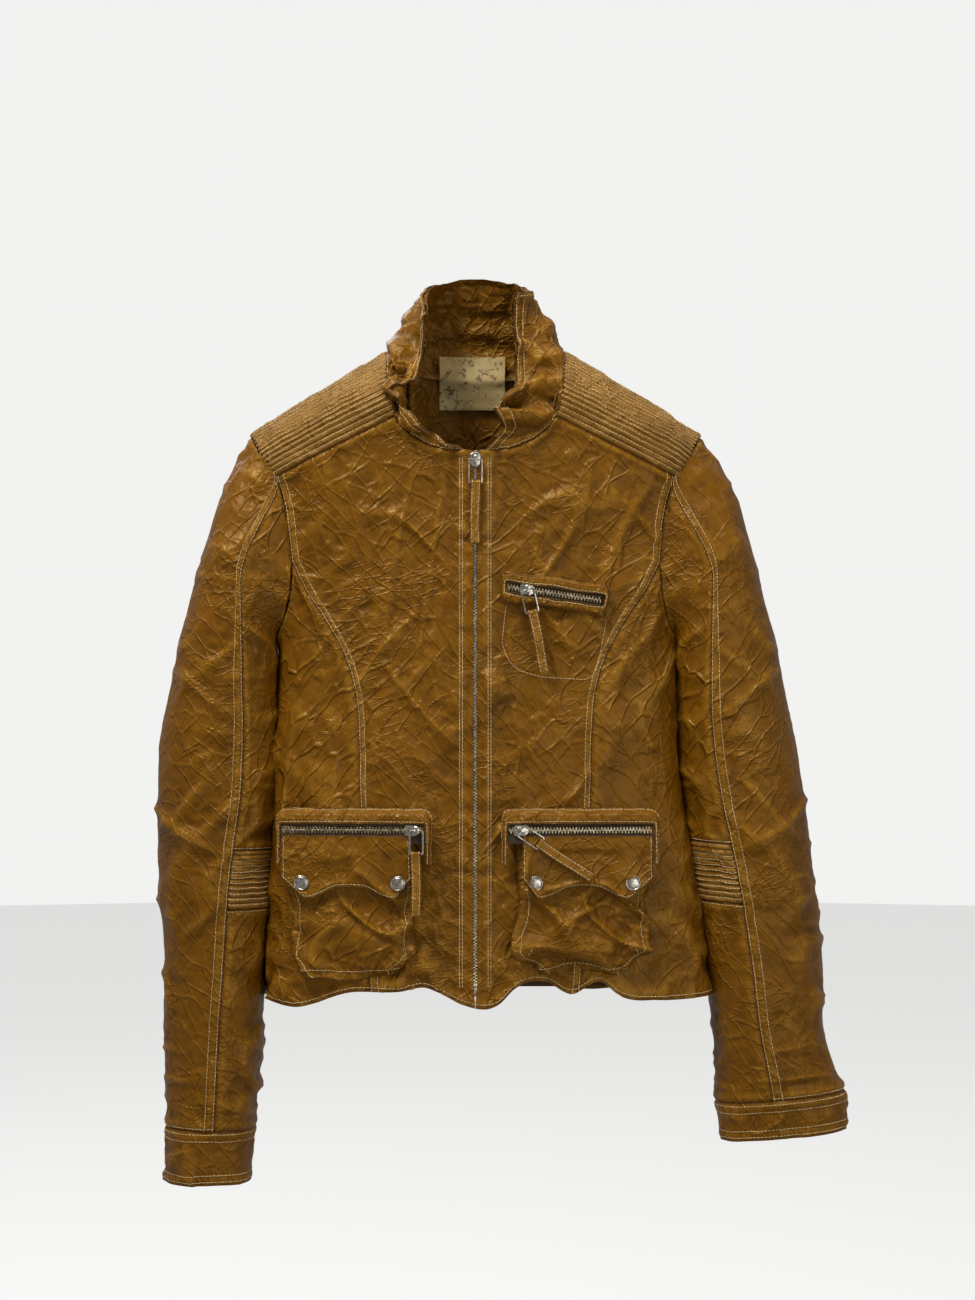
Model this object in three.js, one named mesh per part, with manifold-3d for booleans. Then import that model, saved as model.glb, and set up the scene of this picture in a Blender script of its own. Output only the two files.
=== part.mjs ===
// A cropped leather riding jacket with a stand collar, quilted shoulders and elbows, a front zip, a zipped
// chest pocket and two patch pockets that have a zip and a snapped flap. Millimetres, +Z up, the front
// faces -Y, and the wearer's left is +X. The origin is where a hanger holds the jacket, between the two
// sides of the neck.
import * as THREE from "three";
import { mergeVertices } from "three/addons/utils/BufferGeometryUtils.js";
import Module from "manifold-3d";

const wasm = await Module();
wasm.setup();

// Body
const shoulderHalf = 190; // centre to shoulder tip
const shoulderDrop = 64; // origin down to shoulder tip
const neckHalf = 74; // centre to the side of the neck
const neckRise = 6; // origin up to the side of the neck
const frontNeckDrop = 80; // origin down to the top of the front zip
const backNeckDrop = 15;
const chestHalf = shoulderHalf - 22; // centre to side seam at the armpit
const armpitDrop = 232;
const waistHalf = shoulderHalf - 17;
const waistDrop = 350;
const hemHalf = { left: waistHalf + 22, right: waistHalf + 4 }; // it hangs a little to the left
const hemDrop = 531;
const frontDepth = 52; // shoulder line forward to the top of the zip
const frontLean = 0.022; // how fast the front runs forward on the way down
const backDepth = { neck: 50, blades: 58, waist: 50, hem: 60 };
const sectionPower = 3.4; // 2 would be an oval body, more is flatter front and back
const shoulderRound = 50; // height over which the shoulder rounds into front and back
const leather = 1.5;
const seamGap = 1.2;

// Collar
const collarHeight = 61; // origin up to the back of the collar
const collarHalf = { front: 37, side: 44 };
const collarDepth = { front: 34, back: 36 };
const collarFacing = 1.2;
const layerGap = 0.6; // between two layers of cloth or leather

// Sleeves, from the shoulder tip to the end of the cuff
const sleeveLength = { left: 579, right: 623 };
const sleevePower = 2.2;
const cuffHeight = { left: 32, right: 46 };
const elbowTop = 343; // shoulder tip down to the quilted elbow
const elbowHeight = 50;

// Zips
const teethHalf = 2.9; // half the width of a closed row of teeth
const teethThick = 2;
const toothPitch = 6;
const webHalf = 0.3; // the slider's divider, which passes between the rows
const rowGap = 0.6; // centre line to each row
const tapeThick = 0.6;
const tapeHalf = 11;
const sliderLength = 12;
const sliderHalf = 4.2;
const plate = 1;
const zipStop = 4; // the joined part at each end of a pocket's zip
const running = 0.35; // clearance round what slides or turns
const crownHole = 1.05;
const crownWidth = 2;
const wire = 1.2;
const bailWidth = 12;
const bailLength = 19;
const tabWidth = 8.5;
const tabLength = 52;
const tabThick = 2.2;
const lipRoom = 0.85; // room under the front slider for the two leather lips

// Patch pockets, measured from the middle of the pocket's zip
const pocketOut = { left: 88, right: 101 }; // centre front to each pocket's middle
const pocketDrop = 391;
const pocketStand = 8.8; // front panel out to the zip's teeth
const zipOuter = 57; // pocket's middle to the end of its zip away from the front zip
const zipInner = 62; // and to the end next to the front zip
const frameRise = 18;
const frameLeg = 24;
const frameSide = 4;
const frameThick = 0.9;
const flapOuter = 57;
const flapInner = 50.5;
const flapThick = 1.4;
const flapFold = 28.3; // zip down to the line that the flap lifts about
const flapTip = 57;
const flapArch = 47;
const pouchHalf = 54;
const pouchBottom = 119;
const pouchCorner = 17;
const snapOut = 40;
const snapDrop = 43;
const snapRadius = 6.2;
const snapHeight = 1.2;

// Chest pocket, on the wearer's left
const chestOut = 65;
const chestDrop = 198;
const chestTilt = -8;
const chestZip = 80;
const chestStand = 3.2;
const weltHalf = 44;
const weltHeightHalf = 13.5;

const rad = THREE.MathUtils.degToRad;
const upright = new THREE.Vector3(0, 0, 1);
const sideName = (side) => (side > 0 ? "left" : "right");

const finish = (color, roughness, metalness) =>
  new THREE.MeshStandardMaterial({ color, roughness, metalness });
const tanLeather = finish(0x9a6526, 0.55, 0);
const quiltedLeather = finish(0x94602a, 0.6, 0);
const tabLeather = finish(0xa36f30, 0.55, 0);
const liningCloth = finish(0x4a2f16, 0.45, 0);
const tapeCloth = finish(0x85703a, 0.8, 0);
const labelCloth = finish(0xc8b78a, 0.8, 0);
const oldBrass = finish(0x5c5236, 0.35, 0.9);
const nickel = finish(0x9c9a92, 0.25, 1);

const jacket = new THREE.Group();

function add(name, geometry, material, parent = jacket) {
  const mesh = new THREE.Mesh(geometry, material);
  mesh.name = name;
  parent.add(mesh);
  return mesh;
}

// A value read off a few stations [place, value] with a smooth curve through them.
function through(stations, place) {
  const last = stations.length - 1;
  if (place <= stations[0][0]) return stations[0][1];
  if (place >= stations[last][0]) return stations[last][1];
  const i = stations.findIndex((s) => s[0] > place) - 1;
  const slope = (k) => {
    const [a, b] = [stations[Math.max(k - 1, 0)], stations[Math.min(k + 1, last)]];
    return (b[1] - a[1]) / (b[0] - a[0]);
  };
  const [[x0, y0], [x1, y1]] = [stations[i], stations[i + 1]];
  const h = x1 - x0;
  const t = (place - x0) / h;
  return (
    y0 * (1 + 2 * t) * (1 - t) ** 2 +
    slope(i) * h * t * (1 - t) ** 2 +
    y1 * t * t * (3 - 2 * t) +
    slope(i + 1) * h * t * t * (t - 1)
  );
}

// ---- The body's surface ----

// Centre to side seam. Drop is measured down from the origin.
function halfWidth(drop, side) {
  const hem = hemHalf[sideName(side)];
  return through(
    [
      [shoulderDrop, shoulderHalf],
      [(shoulderDrop + armpitDrop) / 2, (shoulderHalf + chestHalf) / 2 - 2],
      [armpitDrop, chestHalf],
      [waistDrop, waistHalf],
      [(waistDrop + 2 * hemDrop) / 3, waistHalf + 0.8 * (hem - waistHalf)],
      [hemDrop, hem],
    ],
    drop,
  );
}

const ridgeSlope = (neckRise + shoulderDrop) / (shoulderHalf - neckHalf);
const ridge = (x) => neckRise + ridgeSlope * (neckHalf - Math.abs(x));

function depthAt(drop, face) {
  if (face < 0) return frontDepth + frontLean * (drop - frontNeckDrop);
  const stations = [
    [0, backDepth.neck],
    [armpitDrop, backDepth.blades],
    [waistDrop, backDepth.waist],
    [hemDrop, backDepth.hem],
  ];
  return through(stations, drop);
}

const rounding = (fall) =>
  fall >= shoulderRound ? 1 : Math.sqrt(1 - (1 - Math.max(fall, 0) / shoulderRound) ** 2);

// A point of the body from the turn round it (0 at the zip, a half turn at the spine) and its height.
function onBody(turn, z, side) {
  const [s, c] = [Math.sin(turn), Math.cos(turn)];
  const scale = (Math.abs(s) ** sectionPower + Math.abs(c) ** sectionPower) ** (-1 / sectionPower);
  const x = halfWidth(-z, side) * s * scale;
  const y = -c * scale * depthAt(-z, -Math.sign(c)) * rounding(ridge(x) - z);
  return new THREE.Vector3(x, y, z);
}

// The turn at which the body reaches x at a height, on the front (face -1) or the back (face 1).
function turnAt(x, z, side, face) {
  const s = Math.min(x / halfWidth(-z, side), 1);
  const turn = Math.atan2(s, (1 - s ** sectionPower) ** (1 / sectionPower));
  return face < 0 ? turn : Math.PI - turn;
}

const onBodyAt = (x, z, side, face) => onBody(turnAt(x, z, side, face), z, side);

// ---- Seams, as [distance out, height] on one side of the body ----

const yokeFront = [shoulderHalf - 25, -(shoulderDrop + 37)];
const yokeBack = [shoulderHalf - 27, -(shoulderDrop + 40)];
const neckFront = [neckHalf - 8, -(frontNeckDrop - 28)];
const neckBack = [neckHalf - 14, -7];
const scoop = shoulderHalf - 38; // the armhole's nearest point to the zip
const princessTop = [scoop, -(armpitDrop - 60)];
const princessHem = 86;
const princess = [
  [princessHem, -hemDrop],
  [94, -370],
  [95, -326],
  [98, -281],
  [107, -249],
  [123, -220],
  [140, -195],
  princessTop,
];
const armholeLow = [princessTop, [scoop + 1, -(armpitDrop - 37)], [scoop + 8, -(armpitDrop - 12)],
  [chestHalf, -armpitDrop]];
const armholeHigh = [princessTop, [scoop + 5, -(shoulderDrop + 66)], yokeFront];
const armholeBackHigh = [princessTop, [scoop + 4, -(shoulderDrop + 66)], yokeBack];
const neckline = [
  [0, -frontNeckDrop],
  [30, -(frontNeckDrop - 3)],
  [52, -(frontNeckDrop - 13)],
  neckFront,
];
const neckBackLine = [neckBack, [40, -12], [0, -backNeckDrop]];

// The yokes stop this much above the seam line, to leave room for the seam.
const lifted = (points) => points.map(([x, z]) => [x, z + 1.2]);

// A seam as a curve over the turn and height of the body.
function seam(points, side, face) {
  const drawn = new THREE.SplineCurve(points.map(([x, z]) => new THREE.Vector2(x, z)));
  return (t) => {
    const { x, y: z } = drawn.getPoint(t);
    return new THREE.Vector2(turnAt(Math.min(x, halfWidth(-z, side)), z, side, face), z);
  };
}

const straight = (a, b) => (t) => new THREE.Vector2().lerpVectors(a, b, t);
const joined = (a, b, share) => (t) => (t < share ? a(t / share) : b((t - share) / (1 - share)));
const reversed = (curve) => (t) => curve(1 - t);

// The place between four edges, which is exact on each of them.
function between(bottom, top, left, right) {
  return (u, v) => {
    const mix = (a, b, t) => a.clone().lerp(b, t);
    const corners = mix(mix(bottom(0), bottom(1), u), mix(top(0), top(1), u), v);
    return mix(bottom(u), top(u), v).add(mix(left(v), right(v), u)).sub(corners);
  };
}

// A sewn panel: a box's lattice laid on a surface, the box's depth becoming the leather's thickness.
// Seen from outside, u runs to the right and v runs up. Its edges stay half a seam's gap inside u and v.
function panel(place, across, up, size, thickness = leather, inside = 0) {
  const lattice = new THREE.BoxGeometry(1, 1, 1, across, up, 1);
  const at = lattice.getAttribute("position");
  const edge = size.map((s) => seamGap / 2 / s);
  const step = 1e-3;
  for (let i = 0; i < at.count; i++) {
    const u = edge[0] + (at.getX(i) + 0.5) * (1 - 2 * edge[0]);
    const v = edge[1] + (at.getY(i) + 0.5) * (1 - 2 * edge[1]);
    const along = place(u + step, v).sub(place(u - step, v));
    const rise = place(u, v + step).sub(place(u, v - step));
    const out = along.cross(rise).normalize();
    const point = place(u, v).addScaledVector(out, (at.getZ(i) - 0.5) * thickness - inside);
    at.setXYZ(i, point.x, point.y, point.z);
  }
  return lattice;
}

// The same place on the wearer's left or right. Turning u round keeps the outside outside.
const mirrored = (side, place) => (u, v) => {
  const point = place(side > 0 ? u : 1 - u, v);
  point.x *= side;
  return point;
};

// ---- Body panels ----

function bodyPanels() {
  for (const side of [1, -1]) {
    const on = (chart) => mirrored(side, (u, v) => {
      const at = chart(u, v);
      return onBody(at.x, at.y, side);
    });
    const flat = (x, z, face = -1) => new THREE.Vector2(turnAt(x, z, side, face), z);
    const name = sideName(side);
    const sideTop = new THREE.Vector2(Math.PI / 2, -armpitDrop);
    const sideFoot = new THREE.Vector2(Math.PI / 2, -hemDrop);
    const zipEdge = sliderHalf + running + 0.5;
    const front = between(
      straight(flat(zipEdge, -hemDrop), flat(princessHem, -hemDrop)),
      joined(seam(neckline, side, -1), seam([neckFront, yokeFront], side, -1), 0.4),
      straight(flat(zipEdge, -hemDrop), flat(zipEdge, -frontNeckDrop)),
      joined(seam(princess, side, -1), seam(armholeHigh, side, -1), 0.8),
    );
    // The neckline starts at the zip's edge, and not on the centre line.
    const clearOfZip = (u, v) => {
      const at = front(u, v);
      return at.setX(Math.max(at.x, turnAt(zipEdge, at.y, side, -1)));
    };
    add(name + "_front_panel", panel(on(clearOfZip), 10, 15, [110, 440]), tanLeather);
    const flank = between(
      straight(flat(princessHem, -hemDrop), sideFoot),
      seam(armholeLow, side, -1),
      seam(princess, side, -1),
      straight(sideFoot, sideTop),
    );
    add(name + "_side_panel", panel(on(flank), 6, 12, [90, 330]), tanLeather);
    const backFlank = between(
      straight(sideFoot, flat(princessHem, -hemDrop, 1)),
      reversed(seam(armholeLow, side, 1)),
      straight(sideFoot, sideTop),
      seam(princess, side, 1),
    );
    add(name + "_back_side_panel", panel(on(backFlank), 6, 12, [90, 330]), tanLeather);
  }
}

// The back runs from one shoulder blade seam to the other, so its turn passes a half turn at the spine.
function backPanel() {
  const onBack = (at) => {
    const side = at.x <= Math.PI ? 1 : -1;
    const point = onBody(side > 0 ? at.x : 2 * Math.PI - at.x, at.y, side);
    point.x *= side;
    return point;
  };
  const across = (curve) => (t) => {
    const at = curve(t);
    return at.setX(2 * Math.PI - at.x);
  };
  const edge = (side) => joined(seam(princess, side, 1), seam(armholeBackHigh, side, 1), 0.8);
  const shoulder = (side) => reversed(joined(reversed(seam(neckBackLine,
    side, 1)), backYokeSeam(side), 0.4));
  const top = (t) => (t < 0.5 ? shoulder(1)(2 * t) : across(shoulder(-1))(2 - 2 * t));
  const hem = (side) => new THREE.Vector2(turnAt(princessHem, -hemDrop, side, 1), -hemDrop);
  const chart = between(straight(hem(1), across(() => hem(-1))(0)), top, edge(1), across(edge(-1)));
  const place = (u, v) => onBack(chart(u, v));
  add("back_panel", panel(place, 16, 12, [200, 500]), tanLeather);
}

const backYokeSeam = (side) => seam([neckBack, [neckHalf + 36, -58], yokeBack], side, 1);

// ---- Shoulder yokes, over the ridge from the front seam to the back one ----

// How far the surface has turned over the ridge at a fall below it, and the fall for a turn.
const overAt = (fall) =>
  fall < shoulderRound ? Math.acos(1 - fall / shoulderRound) : Math.PI / 2 + fall / shoulderRound - 1;
const fallAt = (over) =>
  Math.abs(over) < Math.PI / 2
    ? shoulderRound * (1 - Math.cos(over))
    : shoulderRound * (1 + Math.abs(over) - Math.PI / 2);

function yokes() {
  for (const side of [1, -1]) {
    const over = ([x, z], face) => new THREE.Vector2(x, face * overAt(Math.max(ridge(x) - z, 0)));
    const line = (points, face) => {
      const drawn = new THREE.SplineCurve(points.map(([x, z]) => new THREE.Vector2(x, z)));
      return (t) => {
        const at = drawn.getPoint(t);
        return over([at.x, at.y], face);
      };
    };
    const arc = (stops) => {
      const drawn = new THREE.SplineCurve(stops);
      return (t) => drawn.getPoint(t);
    };
    const neckSide = arc([
      over(...lifted([neckFront]), -1),
      over([neckHalf - 3, -(frontNeckDrop - 48)], -1),
      over([neckHalf - 0.5, -10], -1),
      new THREE.Vector2(neckHalf, 0),
      over([neckHalf - 3, 1], 1),
      over(...lifted([neckBack]), 1),
    ]);
    const armSide = arc([
      over(...lifted([yokeFront]), -1),
      over([shoulderHalf - 10, -(shoulderDrop + 16)], -1),
      new THREE.Vector2(shoulderHalf - 1, 0),
      over([shoulderHalf - 9, -(shoulderDrop + 16)], 1),
      over(...lifted([yokeBack]), 1),
    ]);
    const chart = between(
      line(lifted([neckFront, yokeFront]), -1),
      line(lifted([neckBack, [neckHalf + 36, -58], yokeBack]), 1),
      neckSide,
      armSide,
    );
    const place = mirrored(side, (u, v) => {
      const at = chart(u, v);
      const z = ridge(at.x) - fallAt(at.y);
      const face = at.y < 0 ? -1 : 1;
      const flat = onBodyAt(at.x, z, side, face);
      // The turn over the ridge gives the depth directly, which keeps the ridge itself smooth.
      const share = Math.min(at.x / halfWidth(-z, side), 1);
      const lean = (1 - share ** sectionPower) ** (1 / sectionPower);
      const turn = THREE.MathUtils.clamp(at.y, -Math.PI / 2, Math.PI / 2);
      flat.set(at.x, depthAt(-z, face) * lean * Math.sin(turn), z);
      return flat;
    });
    add(sideName(side) + "_shoulder_yoke", panel(place, 7, 12, [110, 120], leather + 0.5), quiltedLeather);
  }
}

// ---- Collar ----

// The neck seam from the zip round the wearer's left, the back of the neck and the right to the zip again.
function neckSeam() {
  const half = (side) => {
    const front = [[8, -frontNeckDrop], ...neckline.slice(1), [neckHalf - 3, -(frontNeckDrop - 48)]];
    const points = front.map(([x, z]) => onBodyAt(x, z, side, -1));
    const rim = [
      [neckHalf - 0.5, -10, -1],
      [neckHalf, neckRise - 0.01, -1],
      [neckHalf - 3, 1, 1],
      [...neckBack, 1],
      [40, -12, 1],
    ].map(([x, z, face]) => onBodyAt(x, z, side, face));
    return [...points, ...rim].map((p) => p.multiply(new THREE.Vector3(side, 1, 1)));
  };
  const back = onBodyAt(0, -backNeckDrop, 1, 1);
  return new THREE.CatmullRomCurve3([...half(1), back, ...half(-1).reverse()]);
}

function collar() {
  const base = neckSeam();
  const rim = (side) => [
    new THREE.Vector3(side * collarHalf.front, -collarDepth.front, collarHeight - 10),
    new THREE.Vector3(side * (collarHalf.side - 1), -collarDepth.front / 2, collarHeight - 8),
    new THREE.Vector3(side * collarHalf.side, 4, collarHeight - 6),
    new THREE.Vector3(side * collarHalf.side * 0.62, collarDepth.back - 7, collarHeight - 2),
  ];
  const top = new THREE.CatmullRomCurve3([
    ...rim(1),
    new THREE.Vector3(0, collarDepth.back, collarHeight),
    ...rim(-1).reverse(),
  ]);
  const place = (u, v) => {
    const foot = base.getPoint(THREE.MathUtils.clamp(u, 0, 1)).addScaledVector(upright, seamGap + leather);
    foot.x -= Math.sign(foot.x) * 1.8 * THREE.MathUtils.smoothstep(Math.abs(foot.x), 20, 60);
    const swell = 6 * Math.sin(Math.PI * v);
    const point = foot.clone().lerp(top.getPoint(THREE.MathUtils.clamp(u, 0, 1)), v);
    const out = new THREE.Vector3(point.x, point.y, 0).normalize();
    return point.addScaledVector(out, swell);
  };
  add("collar", panel(place, 26, 5, [400, 80], leather), tanLeather);
  add("collar_facing", panel(place, 26, 5, [400, 80], collarFacing, leather + 2.8 * layerGap), tanLeather);
}

function neckInside() {
  const inside = leather + 3 * layerGap;
  const patch = (out, top, bottom) => (u, v) => {
    const x = out * (1 - 2 * u);
    const z = bottom + (top - bottom) * v;
    const point = onBodyAt(Math.abs(x), z, 1, 1);
    return point.setX(x);
  };
  const facing = patch(54, -(backNeckDrop + 18), -92);
  add("back_neck_facing", panel(facing, 8, 4, [120, 60], collarFacing, inside), tanLeather);
  const label = patch(27, -(backNeckDrop + 22), -76);
  add("neck_label", panel(label, 6, 3, [54, 40], 0.8, inside + collarFacing + layerGap), labelCloth);
}

function lining() {
  const hemRoom = 12;
  const from = turnAt(tapeHalf + 10, -armpitDrop, 1, -1);
  const place = (u, v) => {
    const turn = from + (2 * Math.PI - 2 * from) * u;
    const side = turn <= Math.PI ? 1 : -1;
    const z = -(hemDrop - hemRoom) + (hemDrop - hemRoom - armpitDrop - 6) * v;
    const point = onBody(side > 0 ? turn : 2 * Math.PI - turn, z, side);
    return point.setX(point.x * side);
  };
  add("body_lining", panel(place, 28, 6, [800, 280], 0.8, leather + 2.4), liningCloth);
}

// ---- Sleeves ----

// The sleeve's outer edge from the shoulder tip and its inner edge from the armpit, each as [out, down],
// and its half depth. They are drawn for the lengths below and stretch with the sleeve.
const drawnLength = { left: 579, right: 623 };
const sleeveOuter = {
  left: [[0, 0], [19, 26], [34, 60], [50, 124], [67, 188], [80, 250], [89, 306], [95, 353], [99, 398],
    [103, 448], [103, 494], [112, 528], [119, 547], [122, 579]],
  right: [[0, 0], [16, 26], [30, 64], [47, 126], [65, 193], [77, 251], [79, 301], [79, 344], [77, 391],
    [74, 441], [74, 496], [72, 546], [71, 577], [71, 623]],
};
const sleeveInner = {
  left: [[0, 0], [6, 9], [8, 19], [9, 34], [10, 61], [13, 104], [17, 141], [21, 179], [26, 224],
    [31, 274], [35, 323], [38, 362], [38, 389], [42, 421]],
  right: [[0, 0], [6, 9], [7, 19], [7, 34], [7, 59], [6, 104], [7, 141], [9, 179], [12, 224], [15, 274],
    [16, 329], [19, 379], [21, 410], [25, 455]],
};
const sleeveDepth = [46, 49, 51, 52, 52, 51, 49, 48, 47, 45, 43, 41, 39, 37];
const lastStation = sleeveDepth.length - 1;
// Where the two long seams run, as turns from the outer edge towards the front, by station.
const seamTurns = [[0, 50], [1, 72], [2, 90], [4, 112], [8, 106], [lastStation, 98]];
const armholeTurns = [0, 26, 50, 72, 94, 122, 152, 180];

function sleeveShape(side) {
  const name = sideName(side);
  const stretch = sleeveLength[name] / drawnLength[name];
  const line = (points, [out, down]) =>
    new THREE.SplineCurve(points.map(([o, d]) => new THREE.Vector2(out + o, -(down + d * stretch))));
  const outer = line(sleeveOuter[name], [shoulderHalf, shoulderDrop]);
  const inner = line(sleeveInner[name], [chestHalf, armpitDrop]);
  const front = [[shoulderHalf, -shoulderDrop], [shoulderHalf - 10, -(shoulderDrop + 16)], yokeFront,
    [scoop + 5, -(shoulderDrop + 66)], princessTop, ...armholeLow.slice(1)];
  const hole = (turn) => {
    const face = turn <= 180 ? -1 : 1;
    const degrees = turn <= 180 ? turn : 360 - turn;
    const i = armholeTurns.findIndex((t) => t >= degrees);
    const k = Math.max(i, 1);
    const share = (degrees - armholeTurns[k - 1]) / (armholeTurns[k] - armholeTurns[k - 1]);
    const x = THREE.MathUtils.lerp(front[k - 1][0], front[k][0], share);
    const z = THREE.MathUtils.lerp(front[k - 1][1], front[k][1], share);
    const edge = onBodyAt(Math.min(x, halfWidth(-z, side)), z, side, face);
    return edge.add(new THREE.Vector3(seamGap + 1, 0, 0));
  };
  // Turn in degrees from the outer edge towards the front, and station down the sleeve.
  return (turn, station) => {
    const t = station / lastStation;
    const [o, i] = [outer.getPoint(t), inner.getPoint(t)];
    const round = ((turn % 360) + 360) % 360;
    const [c, s] = [Math.cos(rad(round)), Math.sin(rad(round))];
    const scale = (Math.abs(c) ** sleevePower + Math.abs(s) ** sleevePower) ** (-1 / sleevePower);
    const depth = through(sleeveDepth.map((d, k) => [k, d]), station);
    const middle = o.clone().add(i).multiplyScalar(0.5);
    const half = o.clone().sub(i).multiplyScalar(0.5 * c * scale);
    const point = new THREE.Vector3(middle.x + half.x, -depth * s * scale, middle.y + half.y);
    const free = THREE.MathUtils.smoothstep(station, 0, 2);
    return hole(round).lerp(point, free);
  };
}

function sleeves() {
  for (const side of [1, -1]) {
    const name = sideName(side);
    const shape = sleeveShape(side);
    const stretch = sleeveLength[name] / drawnLength[name];
    const drops = sleeveOuter[name].map((p, k) => [p[1] * stretch, k]);
    const stationAt = (drop) => through(drops, drop);
    const cuffTop = stationAt(sleeveLength[name] - cuffHeight[name]);
    const elbow = [stationAt(elbowTop), stationAt(elbowTop + elbowHeight)];
    const seamTurn = (station) => through(seamTurns, station);
    const part = (from, to, low, high) => mirrored(side, (u, v) => {
      const station = low + (high - low) * v;
      return shape(THREE.MathUtils.lerp(from(station), to(station), u), Math.max(station, 0));
    });
    const upper = part(seamTurn, (s) => -seamTurn(s), cuffTop, 0.05);
    add(name + "_upper_sleeve", panel(upper, 10, 13, [150, 560]), tanLeather);
    const clear = 1.3; // degrees, so that the two curved edges of the long seams stay apart
    const under = (low, high) =>
      part((s) => 360 - seamTurn(s) - clear, (s) => seamTurn(s) + clear, low, high);
    add(name + "_undersleeve_top", panel(under(elbow[0], 0.05), 8, 9, [110, 300]), tanLeather);
    const elbowShape = panel(under(elbow[1], elbow[0]), 8, 2, [110, 50], leather + 0.5);
    add(name + "_elbow_panel", elbowShape, quiltedLeather);
    add(name + "_undersleeve_bottom", panel(under(cuffTop, elbow[1]), 8, 5, [110, 130]), tanLeather);
    add(name + "_cuff", cuff(side, shape, cuffTop), tanLeather);
  }
}

// A cuff is a ring, so it is turned from a closed section and then laid on the sleeve's surface.
function cuff(side, shape, cuffTop) {
  const rows = 3;
  const section = [];
  for (let i = 0; i <= rows; i++) section.push(new THREE.Vector2(2, i / rows));
  for (let i = rows; i >= 0; i--) section.push(new THREE.Vector2(1, i / rows));
  section.push(section[0].clone());
  const ring = new THREE.LatheGeometry(section, 20);
  const at = ring.getAttribute("position");
  const place = mirrored(side, (u, v) => {
    const station = lastStation - (lastStation - cuffTop - 0.04) * v;
    return shape(360 * (1 - u), Math.min(station, lastStation));
  });
  for (let i = 0; i < at.count; i++) {
    const point = new THREE.Vector3().fromBufferAttribute(at, i);
    const u = (Math.atan2(-point.z, point.x) / (2 * Math.PI) + 1) % 1;
    const inside = Math.hypot(point.x, point.z) < 1.5 ? leather : 0;
    const wrap = (t) => ((t % 1) + 1) % 1;
    const along = place(wrap(u + 1e-3), point.y).sub(place(wrap(u - 1e-3), point.y));
    const out = along.cross(upright).normalize();
    const made = place(u, point.y).addScaledVector(out, -inside);
    at.setXYZ(i, made.x, made.y, made.z);
  }
  return ring;
}

// ---- Zips ----
// A zip lies in a frame of its own: x along the teeth, y across them and z out of the jacket, with z 0 in
// the middle of the teeth.

function plateOf(outline, low, thick, holes = []) {
  const shape = new THREE.Shape(outline.map(([x, y]) => new THREE.Vector2(x, y)));
  for (const hole of holes) shape.holes.push(new THREE.Path(hole.map(([x, y]) => new THREE.Vector2(x, y))));
  const solid = new THREE.ExtrudeGeometry(shape, { depth: thick, bevelEnabled: false });
  return solid.translate(0, 0, low);
}

const rectangle = (x0, y0, x1, y1) => [[x0, y0], [x1, y0], [x1, y1], [x0, y1]];

const circle = (x, y, r, sides) =>
  Array.from({ length: sides }, (_, i) => {
    const turn = (2 * Math.PI * (i + 0.5)) / sides;
    return [x + r * Math.cos(turn), y + r * Math.sin(turn)];
  });

// One edge of a row of teeth, from x 0 to the length, each tooth reaching from the gum to the tip.
function toothEdge(length, gum, tip) {
  const count = Math.floor(length / toothPitch);
  const pitch = length / count;
  const edge = [];
  for (let i = 0; i < count; i++) {
    const x = i * pitch;
    edge.push([x + 0.02, gum], [x + 0.25 * pitch, tip], [x + 0.6 * pitch, tip], [x + 0.85 * pitch, gum]);
  }
  return edge;
}

// Both rows of a closed pocket zip, joined by the stops at its ends.
function pocketTeeth(from, to) {
  const slot = toothEdge(to - from - 2 * zipStop, 1.5, rowGap).map(([x, y]) => [x + from + zipStop, y]);
  const hole = [...slot, ...slot.map(([x, y]) => [x, -y]).reverse()];
  return plateOf(rectangle(from, -teethHalf, to, teethHalf), -teethThick / 2, teethThick, [hole]);
}

// One row of the front zip, which comes apart down its length.
function frontTeeth(length, across) {
  const edge = toothEdge(length, 1.7, rowGap);
  const row = [...edge, [length, 1.7], [length, teethHalf],
    [0, teethHalf]].map(([x, y]) => [x, y * across]);
  return plateOf(across > 0 ? row : row.reverse(), -teethThick / 2, teethThick);
}

function solidOf(geometry) {
  const bare = geometry.clone().deleteAttribute("normal").deleteAttribute("uv");
  const merged = mergeVertices(bare, 1e-4);
  return new wasm.Manifold(
    new wasm.Mesh({
      numProp: 3,
      vertProperties: new Float32Array(merged.attributes.position.array),
      triVerts: new Uint32Array(merged.index.array),
    }),
  );
}

function geometryOf(solid) {
  const mesh = solid.getMesh();
  const made = new THREE.BufferGeometry();
  made.setAttribute("position", new THREE.BufferAttribute(new Float32Array(mesh.vertProperties), 3));
  return made.setIndex(new THREE.BufferAttribute(new Uint32Array(mesh.triVerts), 1));
}

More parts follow.
